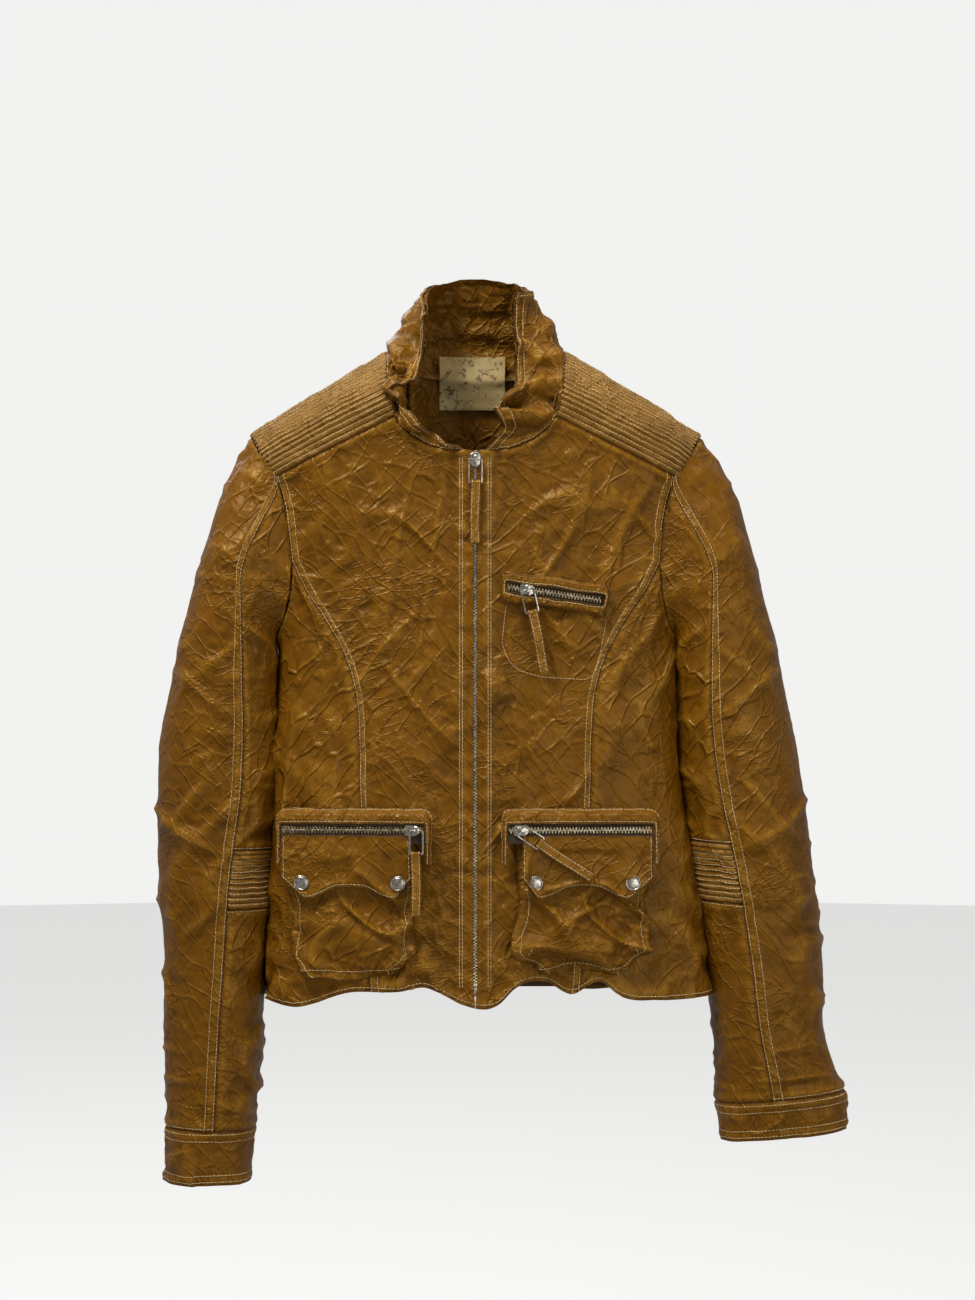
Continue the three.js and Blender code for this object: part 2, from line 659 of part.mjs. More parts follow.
// Two plates joined by the divider that runs between the rows, and a crown on the front plate that holds
// the pull. The pull hangs at an angle from the zip's own direction.
function sliderBody(room, hang, ahead) {
  const inner = teethThick / 2 + running;
  const [back, front] = [-inner - plate, inner + room];
  const nose = (z) => plateOf(
    [[-6, -sliderHalf + 1.4], [-4.6, -sliderHalf], [3, -sliderHalf], [6, -2], [6, 2], [3, sliderHalf],
      [-4.6, sliderHalf], [-6, sliderHalf - 1.4]].map(([x, y]) => [(x * sliderLength) / 12, y]),
    z,
    plate,
  );
  const divider = plateOf(rectangle(-1, -webHalf, 5, webHalf), back + 0.2, front - back);
  const top = front + plate;
  const rise = crownHole + running + 0.2;
  const outline = [[-4.2, -0.2], [4.2, -0.2], [3.6, rise + 1.2], [2, 2 * rise + 0.4], [-2, 2 * rise + 0.4],
    [-3.6, rise + 1.2]];
  const crown = plateOf(outline, -crownWidth / 2, crownWidth, [circle(0, rise, crownHole, 10)])
    .rotateX(Math.PI / 2)
    .translate(0, 0, top)
    .rotateZ(hang)
    .translate(ahead, 0, 0);
  const body = [nose(back), nose(front), divider, crown].map(solidOf).reduce((a, b) => a.add(b));
  return { body: geometryOf(body), pivot: top + rise };
}

// The wire loop and the leather tab, hanging along +x from the pivot.
function bail() {
  const half = bailWidth / 2;
  const [near, far] = [-wire / 2, bailLength + wire / 2];
  const outer = [[near, -half + 1], [near + 1, -half], [far - 1, -half], [far, -half + 1], [far, half - 1],
    [far - 1, half], [near + 1, half], [near, half - 1]];
  const inner = rectangle(near + wire, -half + wire, far - wire, half - wire).reverse();
  return plateOf(outer, -wire / 2, wire, [inner]);
}

// A strip folded round the loop's far bar and sewn to itself, drawn from the side.
function tab() {
  const eye = 2;
  const half = tabThick / 2;
  const outline = [[-eye, 0], [-1.4, -1.4], [0, -eye], [1.8, -eye + 0.3], [5, -half],
    [tabLength - 1, -half], [tabLength, -half + 0.6], [tabLength, half - 0.6], [tabLength - 1, half],
    [5, half], [1.8, eye - 0.3], [0, eye],
    [-1.4, 1.4]];
  return plateOf(outline, -tabWidth / 2, tabWidth, [circle(0, 0, 1.15, 8)])
    .rotateX(Math.PI / 2)
    .translate(bailLength, 0, 0);
}

// A slider with its pull, x along the zip. Hang turns the pull from the zip's own direction, and the crown
// that holds it sits a little ahead of the slider's middle.
function addSlider(zip, name, x, room, hang, ahead = 0) {
  const made = sliderBody(room, hang, ahead);
  const carriage = new THREE.Group();
  carriage.position.x = x;
  zip.add(carriage);
  add(name + "_slider", made.body, nickel, carriage);
  const pull = new THREE.Group();
  pull.position.set(ahead, 0, made.pivot);
  pull.rotation.z = hang;
  carriage.add(pull);
  add(name + "_bail", bail(), nickel, pull);
  add(name + "_tab", tab(), tabLeather, pull);
}

// A group whose x, y and z run along the given directions from a point.
function frameAt(origin, x, out) {
  const z = out.clone().normalize();
  const along = x.clone().addScaledVector(z, -x.dot(z)).normalize();
  const group = new THREE.Group();
  group.setRotationFromMatrix(new THREE.Matrix4().makeBasis(along, z.clone().cross(along), z));
  group.position.copy(origin);
  jacket.add(group);
  return group;
}

function frontZip() {
  const behind = leather + running + tapeThick / 2;
  const top = onBodyAt(0, -frontNeckDrop, 1, -1);
  const foot = onBodyAt(0, -hemDrop, 1, -1);
  const along = foot.clone().sub(top).normalize();
  const out = new THREE.Vector3(1, 0, 0).cross(along).multiplyScalar(-1);
  if (out.y > 0) out.negate();
  const zip = frameAt(top.addScaledVector(out, -behind), along, out);
  const length = foot.distanceTo(top) - 4;
  const box = 9; // the box and pin at the foot, which hold the two halves together
  for (const across of [1, -1]) {
    // Seen from the front with x running down, y runs to the wearer's left.
    const name = across > 0 ? "left" : "right";
    const tape = rectangle(0, across * (teethHalf + 0.3), length, across * (tapeHalf + 6));
    const strip = plateOf(across > 0 ? tape : tape.reverse(), -tapeThick / 2, tapeThick);
    add(name + "_front_zip_tape", strip, tapeCloth, zip);
    const row = frontTeeth(length - box - 1, across);
    add(name + "_front_zip_teeth", row, oldBrass, zip);
  }
  const foothold = rectangle(length - box, -teethHalf, length, teethHalf);
  add("front_zip_box", plateOf(foothold, -teethThick / 2, teethThick), oldBrass, zip);
  addSlider(zip, "front_zip", 8, lipRoom, 0);
}

// ---- Pockets ----

// A frame on the front of the body, standing off it, with x level and running to the wearer's left.
// It faces the way the body faces over the given half width, halfway down the pocket.
function pocketFrame(side, out, drop, stand, half, middle, tilt) {
  const origin = onBodyAt(out, -drop, side, -1).multiply(new THREE.Vector3(side, 1, 1));
  const [near, far] = [-half, half].map((step) => onBodyAt(out + step, -middle, side, -1));
  const turn = THREE.MathUtils.radToDeg(Math.atan2(far.y - near.y, far.x - near.x));
  const facing = new THREE.Vector3(side * Math.sin(rad(turn)), -Math.cos(rad(turn)), frontLean);
  const along = new THREE.Vector3(Math.cos(rad(tilt)), 0, Math.sin(rad(tilt)));
  return frameAt(origin.addScaledVector(facing, stand), along, facing);
}

function pocketZipParts(zip, name, from, to, window) {
  const slot = rectangle(from - 0.3, -teethHalf - 0.3, to + 0.3, teethHalf + 0.3).reverse();
  const tape = plateOf(rectangle(from - 3, -window, to + 3, window), -tapeThick / 2, tapeThick, [slot]);
  add(name + "_zip_tape", tape, tapeCloth, zip);
  add(name + "_zip_teeth", pocketTeeth(from, to), oldBrass, zip);
}

// An outline drawn with x towards the side seam, turned to the wearer's left or right.
const sided = (side, points) => {
  const made = points.map(([x, y]) => [side * x, y]);
  return side > 0 ? made : made.reverse();
};

function patchPocket(side) {
  const name = sideName(side) + "_pocket";
  const middle = pocketDrop + pouchBottom / 2;
  const zip = pocketFrame(side, pocketOut[sideName(side)], pocketDrop, pocketStand, pouchHalf, middle, 0);
  const ends = [-side * zipInner, side * zipOuter].sort((a, b) => a - b);
  pocketZipParts(zip, name, ...ends, tapeHalf);
  // The wearer's right pull hangs straight down past the flap's edge,
  // and the left one lies across the flap.
  const parked = -side * (zipInner - zipStop - 6.3);
  addSlider(zip, name, parked, 0, rad(side < 0 ? -90 : -34), side < 0 ? 4 : 0);

  const low = tapeThick / 2 + running;
  const band = teethHalf + 2.4;
  const [inner, outer] = [zipInner + 0.6, zipOuter + 0.6];
  const [farInner, farOuter] = [inner + frameSide, outer + frameSide];
  const frame = [[-farInner, -frameLeg], [-inner, -frameLeg], [-inner, band], [outer, band],
    [outer, -frameLeg], [farOuter, -frameLeg], [farOuter, frameRise - 5], [farOuter - 5, frameRise],
    [-farInner + 5, frameRise], [-farInner, frameRise - 5]];
  add(name + "_frame", plateOf(sided(side, frame), low, frameThick), tanLeather, zip);

  const back = -0.5;
  const base = rectangle(-flapInner, -flapFold + 0.3, flapOuter, -tapeHalf - 0.4);
  add(name + "_flap_base", plateOf(sided(side, base), back, flapThick), tanLeather, zip);
  const flap = [[-flapInner, -flapFold - 0.3], [-flapInner, -flapTip + 18], [-snapOut + 3, -flapTip],
    [-snapOut + 14, -flapTip + 3], [-14, -flapArch], [14, -flapArch], [snapOut - 14, -flapTip + 3],
    [snapOut - 3, -flapTip], [flapOuter, -flapTip + 18], [flapOuter, -flapFold - 0.3]];
  add(name + "_flap", plateOf(sided(side, flap), back, flapThick), tanLeather, zip);
  const dome = [[0, 0], [snapRadius, 0], [snapRadius, 0.45], [snapRadius * 0.7, snapHeight * 0.85],
    [0, snapHeight]];
  for (const out of [-1, 1]) {
    const cap = new THREE.LatheGeometry(dome.map(([r, h]) => new THREE.Vector2(r, h)), 20);
    cap.rotateX(Math.PI / 2).translate(side * out * snapOut, -snapDrop, back + flapThick + 0.3);
    add(name + (out > 0 ? "_outer" : "_inner") + "_snap", cap, nickel, zip);
  }
  const pouchBack = -pocketStand + 2;
  const pouch = [[-pouchHalf, -tapeHalf - 0.4], [-pouchHalf, -pouchBottom + pouchCorner],
    [-pouchHalf + pouchCorner, -pouchBottom], [pouchHalf - pouchCorner, -pouchBottom],
    [pouchHalf, -pouchBottom + pouchCorner], [pouchHalf, -tapeHalf - 0.4]];
  add(name + "_pouch", plateOf(pouch, pouchBack, back - 0.35 - pouchBack), tanLeather, zip);
}

function chestPocket() {
  const zip = pocketFrame(1, chestOut, chestDrop, chestStand, weltHalf, chestDrop, chestTilt);
  pocketZipParts(zip, "chest_pocket", -chestZip / 2, chestZip / 2, weltHeightHalf - 2);
  const window = rectangle(-chestZip / 2 - 0.5, -teethHalf - 2,
    chestZip / 2 + 0.5, teethHalf + 2).reverse();
  const welt = rectangle(-weltHalf, -weltHeightHalf, weltHalf, weltHeightHalf);
  add("chest_pocket_welt", plateOf(welt, tapeThick / 2 + running, frameThick, [window]), tanLeather, zip);
  addSlider(zip, "chest_pocket", -chestZip / 2 + 17, 0, rad(-70));
}

bodyPanels();
backPanel();
yokes();
collar();
neckInside();
lining();
sleeves();
frontZip();
patchPocket(1);
patchPocket(-1);
chestPocket();

export default jacket;
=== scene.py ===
import math
import time

import bpy
import numpy as np
from mathutils import Matrix, Vector
from mathutils.bvhtree import BVHTree


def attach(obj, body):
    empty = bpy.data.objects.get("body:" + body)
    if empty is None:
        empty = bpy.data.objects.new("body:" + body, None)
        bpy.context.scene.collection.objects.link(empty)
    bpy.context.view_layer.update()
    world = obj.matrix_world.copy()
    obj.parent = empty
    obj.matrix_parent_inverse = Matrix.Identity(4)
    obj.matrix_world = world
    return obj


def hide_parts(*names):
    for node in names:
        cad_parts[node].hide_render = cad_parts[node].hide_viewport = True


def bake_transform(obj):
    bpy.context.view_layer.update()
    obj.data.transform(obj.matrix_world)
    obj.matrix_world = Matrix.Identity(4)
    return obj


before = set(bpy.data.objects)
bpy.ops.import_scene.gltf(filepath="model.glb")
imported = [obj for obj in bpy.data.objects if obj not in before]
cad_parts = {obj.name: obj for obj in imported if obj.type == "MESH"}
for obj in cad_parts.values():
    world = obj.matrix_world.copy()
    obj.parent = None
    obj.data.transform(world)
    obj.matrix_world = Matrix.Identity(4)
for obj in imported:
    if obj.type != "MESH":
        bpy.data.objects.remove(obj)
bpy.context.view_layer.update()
mm = 0.001
began = time.time()


def report(stage):
    print(f"{time.time() - began:6.1f} s  {stage}")


def smooth(x, low, high):
    t = np.clip((x - low) / (high - low), 0, 1)
    return t * t * (3 - 2 * t)


def bump(x, width):
    return np.exp(-((x / width) ** 2))


def unit(v):
    return v / np.maximum(np.linalg.norm(v, axis=-1, keepdims=True), 1e-12)


def through(stations, place):
    xs, ys = np.array(stations, float).T
    place = np.clip(place, xs[0], xs[-1])
    i = np.clip(np.searchsorted(xs, place, side="right") - 1, 0, len(xs) - 2)
    slopes = np.gradient(ys, xs) if len(xs) > 2 else np.full(2, (ys[1] - ys[0]) / (xs[1] - xs[0]))
    h = xs[i + 1] - xs[i]
    t = (place - xs[i]) / h
    return (
        ys[i] * (1 + 2 * t) * (1 - t) ** 2
        + slopes[i] * h * t * (1 - t) ** 2
        + ys[i + 1] * t * t * (3 - 2 * t)
        + slopes[i + 1] * h * t * t * (t - 1)
    )


def spline(points):
    pts = np.array(points, float)
    last = len(pts) - 1

    def at(t):
        p = np.clip(t, 0, 1) * last
        i = np.clip(np.floor(p).astype(int), 0, last - 1)
        w = (p - i)[..., None]
        a, b = pts[np.maximum(i - 1, 0)], pts[i]
        c, d = pts[i + 1], pts[np.minimum(i + 2, last)]
        v0, v1 = (c - a) / 2, (d - b) / 2
        return (2 * b - 2 * c + v0 + v1) * w**3 + (3 * c - 3 * b - 2 * v0 - v1) * w**2 + v0 * w + b

    return at


def joined(a, b, share):
    def at(t):
        t = np.asarray(t, float)
        early = (t < share)[..., None]
        return np.where(early, a(np.clip(t / share, 0, 1)), b(np.clip((t - share) / (1 - share), 0, 1)))

    return at


def line(a, b):
    a, b = np.array(a, float), np.array(b, float)
    return lambda t: a + (b - a) * np.asarray(t, float)[..., None]


def between(bottom, top, left, right):
    def at(u, v):
        zero, one = np.zeros(1), np.ones(1)
        uu, vv = u[..., None], v[..., None]
        low = bottom(zero) * (1 - uu) + bottom(one) * uu
        high = top(zero) * (1 - uu) + top(one) * uu
        corners = low * (1 - vv) + high * vv
        return bottom(u) * (1 - vv) + top(u) * vv + left(v) * (1 - uu) + right(v) * uu - corners

    return at


class Noise:
    def __init__(self, seed):
        self.table = np.random.default_rng(seed).uniform(-1, 1, (32, 32, 32))

    def __call__(self, p):
        i = np.floor(p).astype(int)
        f = p - i
        f = f * f * f * (f * (f * 6 - 15) + 10)
        total = 0
        for corner in range(8):
            bits = np.array([corner >> k & 1 for k in range(3)])
            weight = np.prod(np.where(bits == 1, f, 1 - f), axis=-1)
            x, y, z = np.moveaxis((i + bits) % 32, -1, 0)
            total = total + weight * self.table[x, y, z]
        return total


noises = [Noise(seed) for seed in range(11, 23)]


def warped(p, size, seed, stretch=(1, 1, 1), strength=0.45):
    q = p / (size * np.array(stretch))
    shift = np.stack([noises[(seed + k) % 12](q * 0.7 + 5 * k) for k in (1, 2, 3)], axis=-1)
    return noises[seed % 12](q + strength * shift)


def creases(p, size, seed, stretch=(1, 1, 1), bend=0.22, sharp=1.7):
    ridge = 1 - np.minimum(np.abs(warped(p, size, seed, stretch, bend)) * 2.4, 1)
    return ridge**sharp


def drags(p, size, seed, degrees, long=4.0, sharp=2.2):
    # Straight pulled ridges along one direction, fading in and out.
    q = p @ rotation(degrees)
    ridge = creases(q, size, seed, (1, 1.4, long), 0.16, sharp)
    return ridge * smooth(warped(p, size * 2.4, seed + 3), -0.25, 0.3)


def rotation(degrees):
    c, s = math.cos(math.radians(degrees)), math.sin(math.radians(degrees))
    return np.array([[c, 0, s], [0, 1, 0], [-s, 0, c]])


# The jacket's surfaces, in millimetres.
body = {
    "shoulderHalf": 190,
    "shoulderDrop": 64,
    "neckHalf": 74,
    "neckRise": 6,
    "frontNeckDrop": 80,
    "armpitDrop": 232,
    "waistDrop": 350,
    "hemDrop": 531,
    "frontDepth": 52,
    "frontLean": 0.022,
    "sectionPower": 3.4,
    "shoulderRound": 50,
}
hemZ, armpitZ = -body["hemDrop"], -body["armpitDrop"]
chestHalf = body["shoulderHalf"] - 22
waistHalf = body["shoulderHalf"] - 17
hemHalf = {1: waistHalf + 22, -1: waistHalf + 4}
ridgeSlope = (body["neckRise"] + body["shoulderDrop"]) / (body["shoulderHalf"] - body["neckHalf"])


def halfWidth(drop, side):
    hem = hemHalf[side]
    sh, sd, ap = body["shoulderHalf"], body["shoulderDrop"], body["armpitDrop"]
    wd, hd = body["waistDrop"], body["hemDrop"]
    return through(
        [
            (sd, sh),
            ((sd + ap) / 2, (sh + chestHalf) / 2 - 2),
            (ap, chestHalf),
            (wd, waistHalf),
            ((wd + 2 * hd) / 3, waistHalf + 0.8 * (hem - waistHalf)),
            (hd, hem),
        ],
        drop,
    )


def ridge(x):
    return body["neckRise"] + ridgeSlope * (body["neckHalf"] - np.abs(x))


def depthAt(drop, front):
    ahead = body["frontDepth"] + body["frontLean"] * (drop - body["frontNeckDrop"])
    back = [(0, 50), (body["armpitDrop"], 58), (body["waistDrop"], 50), (body["hemDrop"], 60)]
    behind = through(back, drop)
    return np.where(front, ahead, behind)


def rounding(fall):
    return np.sqrt(1 - (1 - np.clip(fall, 0, body["shoulderRound"]) / body["shoulderRound"]) ** 2)


def onBody(turn, z, side):
    s, c = np.sin(turn), np.cos(turn)
    power = body["sectionPower"]
    scale = (np.abs(s) ** power + np.abs(c) ** power) ** (-1 / power)
    x = halfWidth(-z, side) * s * scale
    y = -c * scale * depthAt(-z, c > 0) * rounding(ridge(x) - z)
    return np.stack([x, y, z], axis=-1)


def turnAt(x, z, side, front):
    power = body["sectionPower"]
    s = np.clip(x / halfWidth(-z, side), 0, 1)
    turn = np.arctan2(s, np.maximum(1 - s**power, 0) ** (1 / power))
    return np.where(front, turn, math.pi - turn)


def onBodyAt(x, z, side, front):
    return onBody(turnAt(x, z, side, front), z, side)


yokeFront, yokeBack = (165, -101), (163, -104)
neckFront, neckBack = (66, -52), (60, -7)
scoop = 152
princessTop = (scoop, -172)
princessHem = 86
princess = [
    (princessHem, hemZ), (94, -370), (95, -326), (98, -281), (107, -249), (123, -220), (140, -195), princessTop,
]
armholeLow = [princessTop, (153, -195), (160, -220), (chestHalf, armpitZ)]
armholeHigh = [princessTop, (157, -130), yokeFront]
armholeBackHigh = [princessTop, (156, -130), yokeBack]
neckline = [(0, -80), (30, -77), (52, -67), neckFront]
neckBackLine = [neckBack, (40, -12), (0, -15)]
yokeBackLine = [neckBack, (110, -58), yokeBack]


def seam(points, side, front):
    drawn = spline(points)

    def at(t):
        p = drawn(np.asarray(t, float))
        x = np.minimum(p[..., 0], halfWidth(-p[..., 1], side))
        return np.stack([turnAt(x, p[..., 1], side, front), p[..., 1]], axis=-1)

    return at


def corner(x, z, side, front=True):
    return (float(turnAt(np.float64(x), np.float64(z), side, front)), z)


def mirrored(side, place):
    def at(u, v):
        p = place(u if side > 0 else 1 - u, v)
        p[..., 0] *= side
        return p

    return at


# Sewn panels.
def clearSelection():
    if bpy.context.object and bpy.context.object.mode != "OBJECT":
        bpy.ops.object.mode_set(mode="OBJECT")
    bpy.ops.object.select_all(action="DESELECT")


def only(obj):
    clearSelection()
    obj.select_set(True)
    bpy.context.view_layer.objects.active = obj


def apply(obj, kind, **settings):
    only(obj)
    modifier = obj.modifiers.new(kind.title(), kind)
    for key, value in settings.items():
        setattr(modifier, key, value)
    bpy.ops.object.modifier_apply(modifier=modifier.name)


def blur(values, cells):
    kernel = np.ones(2 * cells + 1) / (2 * cells + 1)
    for axis in (0, 1):
        padded = np.pad(values, [(cells, cells) if a == axis else (0, 0) for a in (0, 1)], mode="edge")
        values = np.apply_along_axis(lambda r: np.convolve(r, kernel, mode="valid"), axis, padded)
    return values


edgeNames = ("left", "right", "bottom", "top")


def edgeDistances(grid):
    along = np.linalg.norm(np.diff(grid, axis=1), axis=-1)
    rise = np.linalg.norm(np.diff(grid, axis=0), axis=-1)
    across = np.pad(np.cumsum(along, axis=1), ((0, 0), (1, 0)))
    up = np.pad(np.cumsum(rise, axis=0), ((1, 0), (0, 0)))
    far = {"left": across, "right": across[:, -1:] - across, "bottom": up, "top": up[-1:, :] - up}
    run = {
        "left": np.broadcast_to(up[:, :1], up.shape),
        "right": np.broadcast_to(up[:, -1:], up.shape),
        "bottom": np.broadcast_to(across[:1, :], up.shape),
        "top": np.broadcast_to(across[-1:, :], up.shape),
    }
    return far, run


def gridNormals(grid):
    return unit(np.cross(np.gradient(grid, axis=1), np.gradient(grid, axis=0)))


class Panel:
    pass


def makePanel(name, place, size, material, body, look):
    mesh = look.get("mesh", (2.2, 2.2))
    across, up = [max(3, round(s / m)) for s, m in zip(size, mesh)]
    clearSelection()
    bpy.ops.mesh.primitive_grid_add(x_subdivisions=across, y_subdivisions=up, size=1)
    obj = bpy.context.object
    obj.name = obj.data.name = name
    flat = np.empty(len(obj.data.vertices) * 3)
    obj.data.vertices.foreach_get("co", flat)
    flat = flat.reshape(-1, 3)
    cols = int(np.sum(flat[:, 1] < -0.4999))
    rows = len(flat) // cols
    u, v = [(flat[:, k] + 0.5).reshape(rows, cols) for k in (0, 1)]
    rest = place(u, v)
    normal = gridNormals(rest)
    far, run = edgeDistances(rest)
    sewn, hems = look.get("sewn", ()), look.get("hems", ())
    height = look["folds"](rest, u, v) if "folds" in look else np.zeros(rest.shape[:2])
    stitched = [e for e in edgeNames if e in sewn or e in hems]
    nearest = np.full(height.shape, 99.0)
    s = np.zeros(height.shape)
    for edge in stitched:
        closer = far[edge] < nearest
        nearest = np.where(closer, far[edge], nearest)
        s = np.where(closer, run[edge] + 1000 * edgeNames.index(edge), s)
    toSewn = np.min([far[e] for e in sewn], axis=0) if sewn else np.full(height.shape, 99.0)
    height = height * (0.45 + 0.55 * smooth(toSewn, 1, 16))
    pucker = look.get("pucker", 0.5)
    gather = warped(np.stack([s / 4.2, nearest / 22, 0 * s], axis=-1), 1, 3) + 0.5 * np.sin(s * 1.15)
    height += pucker * gather * smooth(nearest, -1, 4) * bump(nearest, 11)
    height += look.get("swell", 0.5) * bump(nearest - 4.4, 2.4)
    roll = look.get("roll", 1.1)
    height -= roll * bump(toSewn, 1.7)
    for edge, offsets in look.get("rows", {}).items():
        for offset in offsets:
            height -= 0.28 * bump(far[edge] - offset, 0.9)
    if "detail" in look:
        height += look["detail"](rest, u, v, far)
    made = rest + normal * height[..., None]
    if "shift" in look:
        made = look["shift"](made, u, v)
    # Painted shade and wear: from the fold height, lighter on the ridges as rubbed wear, darker in the crease
    # valleys as painted shade.
    wear = np.clip(0.5 + (height - blur(height, 3)) / 0.9 + 0.16 * (height - blur(height, 9)), 0, 1)
    obj.data.vertices.foreach_set("co", (made * mm).reshape(-1))
    worn = obj.data.attributes.new("wear", "FLOAT", "POINT").data
    worn.foreach_set("value", wear.reshape(-1).astype(np.float32))
    seamMap = obj.data.uv_layers.new(name="seam")
    corners = np.empty(len(obj.data.loops), int)
    obj.data.loops.foreach_get("vertex_index", corners)
    uv = np.stack([s.reshape(-1), nearest.reshape(-1)], axis=-1)[corners] * mm
    seamMap.data.foreach_set("uv", uv.reshape(-1))
    obj.data.update()
    apply(obj, "SOLIDIFY", thickness=look.get("thickness", 1.2) * mm, offset=-1)
    only(obj)
    bpy.ops.object.shade_smooth_by_angle(angle=math.radians(50))
    obj.data.materials.append(material)
    panel = Panel()
    panel.obj, panel.grid, panel.normal = obj, made, gridNormals(made)
    panel.name, panel.body, panel.threads = name, body, []
    cells = np.cross(rest[1:, :-1] - rest[:-1, :-1], rest[:-1, 1:] - rest[:-1, :-1])
    panel.area = float(np.sum(np.linalg.norm(cells, axis=-1)))
    if isinstance(body, str):
        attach(obj, body)
    else:
        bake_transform(obj)
    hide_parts(*look.get("replaces", [name]))
    for edge, offsets in look.get("rows", {}).items():
        for offset in offsets:
            panel.threads.append(lineAt(panel, edge, offset))
    return panel


def declareSheet(panel):
    grid = panel.grid
    width = np.linalg.norm(np.diff(grid[len(grid) // 2], axis=0), axis=-1).sum() * mm


def lineAt(panel, edge, offset):
    grid, normal = panel.grid, panel.normal
    if edge in ("bottom", "top"):
        grid, normal = grid.transpose(1, 0, 2), normal.transpose(1, 0, 2)
    if edge in ("right", "top"):
        grid, normal = grid[:, ::-1], normal[:, ::-1]
    points, outs = [], []
    for row, out in zip(grid, normal):
        run = np.concatenate([[0], np.cumsum(np.linalg.norm(np.diff(row, axis=0), axis=-1))])
        points.append([np.interp(offset, run, row[:, k]) for k in range(3)])
        outs.append([np.interp(offset, run, out[:, k]) for k in range(3)])
    return np.array(points), np.array(outs)


# Thread: one stitch, copied along every row.
thread = {"pitch": 3.2, "length": 2.5, "radius": 0.36, "lift": 0.16}


def stitchShape():
    clearSelection()
    bpy.ops.mesh.primitive_cylinder_add(vertices=6, radius=thread["radius"], depth=thread["length"])
    only(bpy.context.object)
    bpy.ops.transform.rotate(value=math.pi / 2, orient_axis="Y", center_override=(0, 0, 0))
    bpy.ops.object.transform_apply(location=False, rotation=True, scale=False)
    obj = bpy.context.object
    points = np.array([v.co[:] for v in obj.data.vertices])
    faces = [tuple(p.vertices) for p in obj.data.polygons]
    bpy.ops.object.delete()
    return points, faces


stitchPoints, stitchFaces = stitchShape()


def sew(name, lines, body, material):
    origins, tangents, outs = [], [], []
    for points, normals in lines:
        run = np.concatenate([[0], np.cumsum(np.linalg.norm(np.diff(points, axis=0), axis=-1))])
        count = int(run[-1] / thread["pitch"])
        if count < 1:
            continue
        at = (np.arange(count) + 0.5) * run[-1] / count
        where = np.stack([np.interp(at, run, points[:, k]) for k in range(3)], axis=-1)
        ahead = np.stack([np.interp(at + 0.8, run, points[:, k]) for k in range(3)], axis=-1)
        behind = np.stack([np.interp(at - 0.8, run, points[:, k]) for k in range(3)], axis=-1)
        out = unit(np.stack([np.interp(at, run, normals[:, k]) for k in range(3)], axis=-1))
        along = unit(ahead - behind)
        origins.append(where + out * thread["lift"])
        tangents.append(along)
        outs.append(out)
    o, t, n = [np.concatenate(x) for x in (origins, tangents, outs)]
    b = unit(np.cross(n, t))
    n = np.cross(t, b)
    x, y, z = [stitchPoints[None, :, k : k + 1] for k in range(3)]
    verts = o[:, None] + x * t[:, None] + y * b[:, None] + z * n[:, None]
    k = len(stitchPoints)
    faces = [tuple(i * k + j for j in face) for i in range(len(o)) for face in stitchFaces]
    mesh = bpy.data.meshes.new(name)
    mesh.from_pydata((verts.reshape(-1, 3) * mm).tolist(), [], faces)
    mesh.update()
    obj = bpy.data.objects.new(name, mesh)
    bpy.context.scene.collection.objects.link(obj)
    obj.data.materials.append(material)
    if isinstance(body, str):
        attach(obj, body)
    else:
        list(body)
        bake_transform(obj)
    return obj


# Shader maths as Python expressions.
class Value:
    def __init__(self, tree, socket):
        self.tree, self.socket = tree, socket

    def node(self, kind, settings=None, out=0, **inputs):
        return makeNode(self.tree, kind, settings, out, **inputs)

    def maths(self, operation, other=None, clamp=False):
        node = self.tree.nodes.new("ShaderNodeMath")
        node.operation, node.use_clamp = operation, clamp
        put(self.tree, node.inputs[0], self)
        if other is not None:
            put(self.tree, node.inputs[1], other)
        return Value(self.tree, node.outputs[0])

    def __add__(self, o):
        return self.maths("ADD", o)

    def __radd__(self, o):
        return self.maths("ADD", o)

    def __sub__(self, o):
        return self.maths("SUBTRACT", o)

    def __rsub__(self, o):
        return (self * -1) + o

    def __mul__(self, o):
        return self.maths("MULTIPLY", o)

    def __rmul__(self, o):
        return self.maths("MULTIPLY", o)

    def clamp(self):
        return self.maths("ADD", 0.0, clamp=True)

    def ramp(self, low, high):
        node = self.tree.nodes.new("ShaderNodeMapRange")
        node.interpolation_type = "SMOOTHSTEP"
        put(self.tree, node.inputs["Value"], self)
        node.inputs["From Min"].default_value = low
        node.inputs["From Max"].default_value = high
        return Value(self.tree, node.outputs["Result"])

    def mix(self, a, b):
        node = self.tree.nodes.new("ShaderNodeMix")
        node.data_type = "RGBA"
        put(self.tree, node.inputs[0], self)
        put(self.tree, node.inputs[6], a)
        put(self.tree, node.inputs[7], b)
        return Value(self.tree, node.outputs[2])

    def moved(self, o, amount=1.0):
        node = self.tree.nodes.new("ShaderNodeVectorMath")
        node.operation = "MULTIPLY_ADD"
        put(self.tree, node.inputs[0], o)
        node.inputs[1].default_value = (amount, amount, amount)
        put(self.tree, node.inputs[2], self)
        return Value(self.tree, node.outputs[0])

    def scaled(self, factors):
        node = self.tree.nodes.new("ShaderNodeVectorMath")
        node.operation = "MULTIPLY"
        put(self.tree, node.inputs[0], self)
        node.inputs[1].default_value = factors
        return Value(self.tree, node.outputs[0])


def put(tree, socket, value):
    if isinstance(value, Value):
        tree.links.new(value.socket, socket)
    elif isinstance(value, tuple) and len(value) == 3 and socket.type == "RGBA":
        socket.default_value = (*value, 1)
    else:
        socket.default_value = value


def makeNode(tree, kind, settings=None, out=0, **inputs):
    node = tree.nodes.new("ShaderNode" + kind)
    for key, value in (settings or {}).items():
        setattr(node, key, value)
    for key, value in inputs.items():
        put(tree, node.inputs[key.replace("_", " ")], value)
    return Value(tree, node.outputs[out])


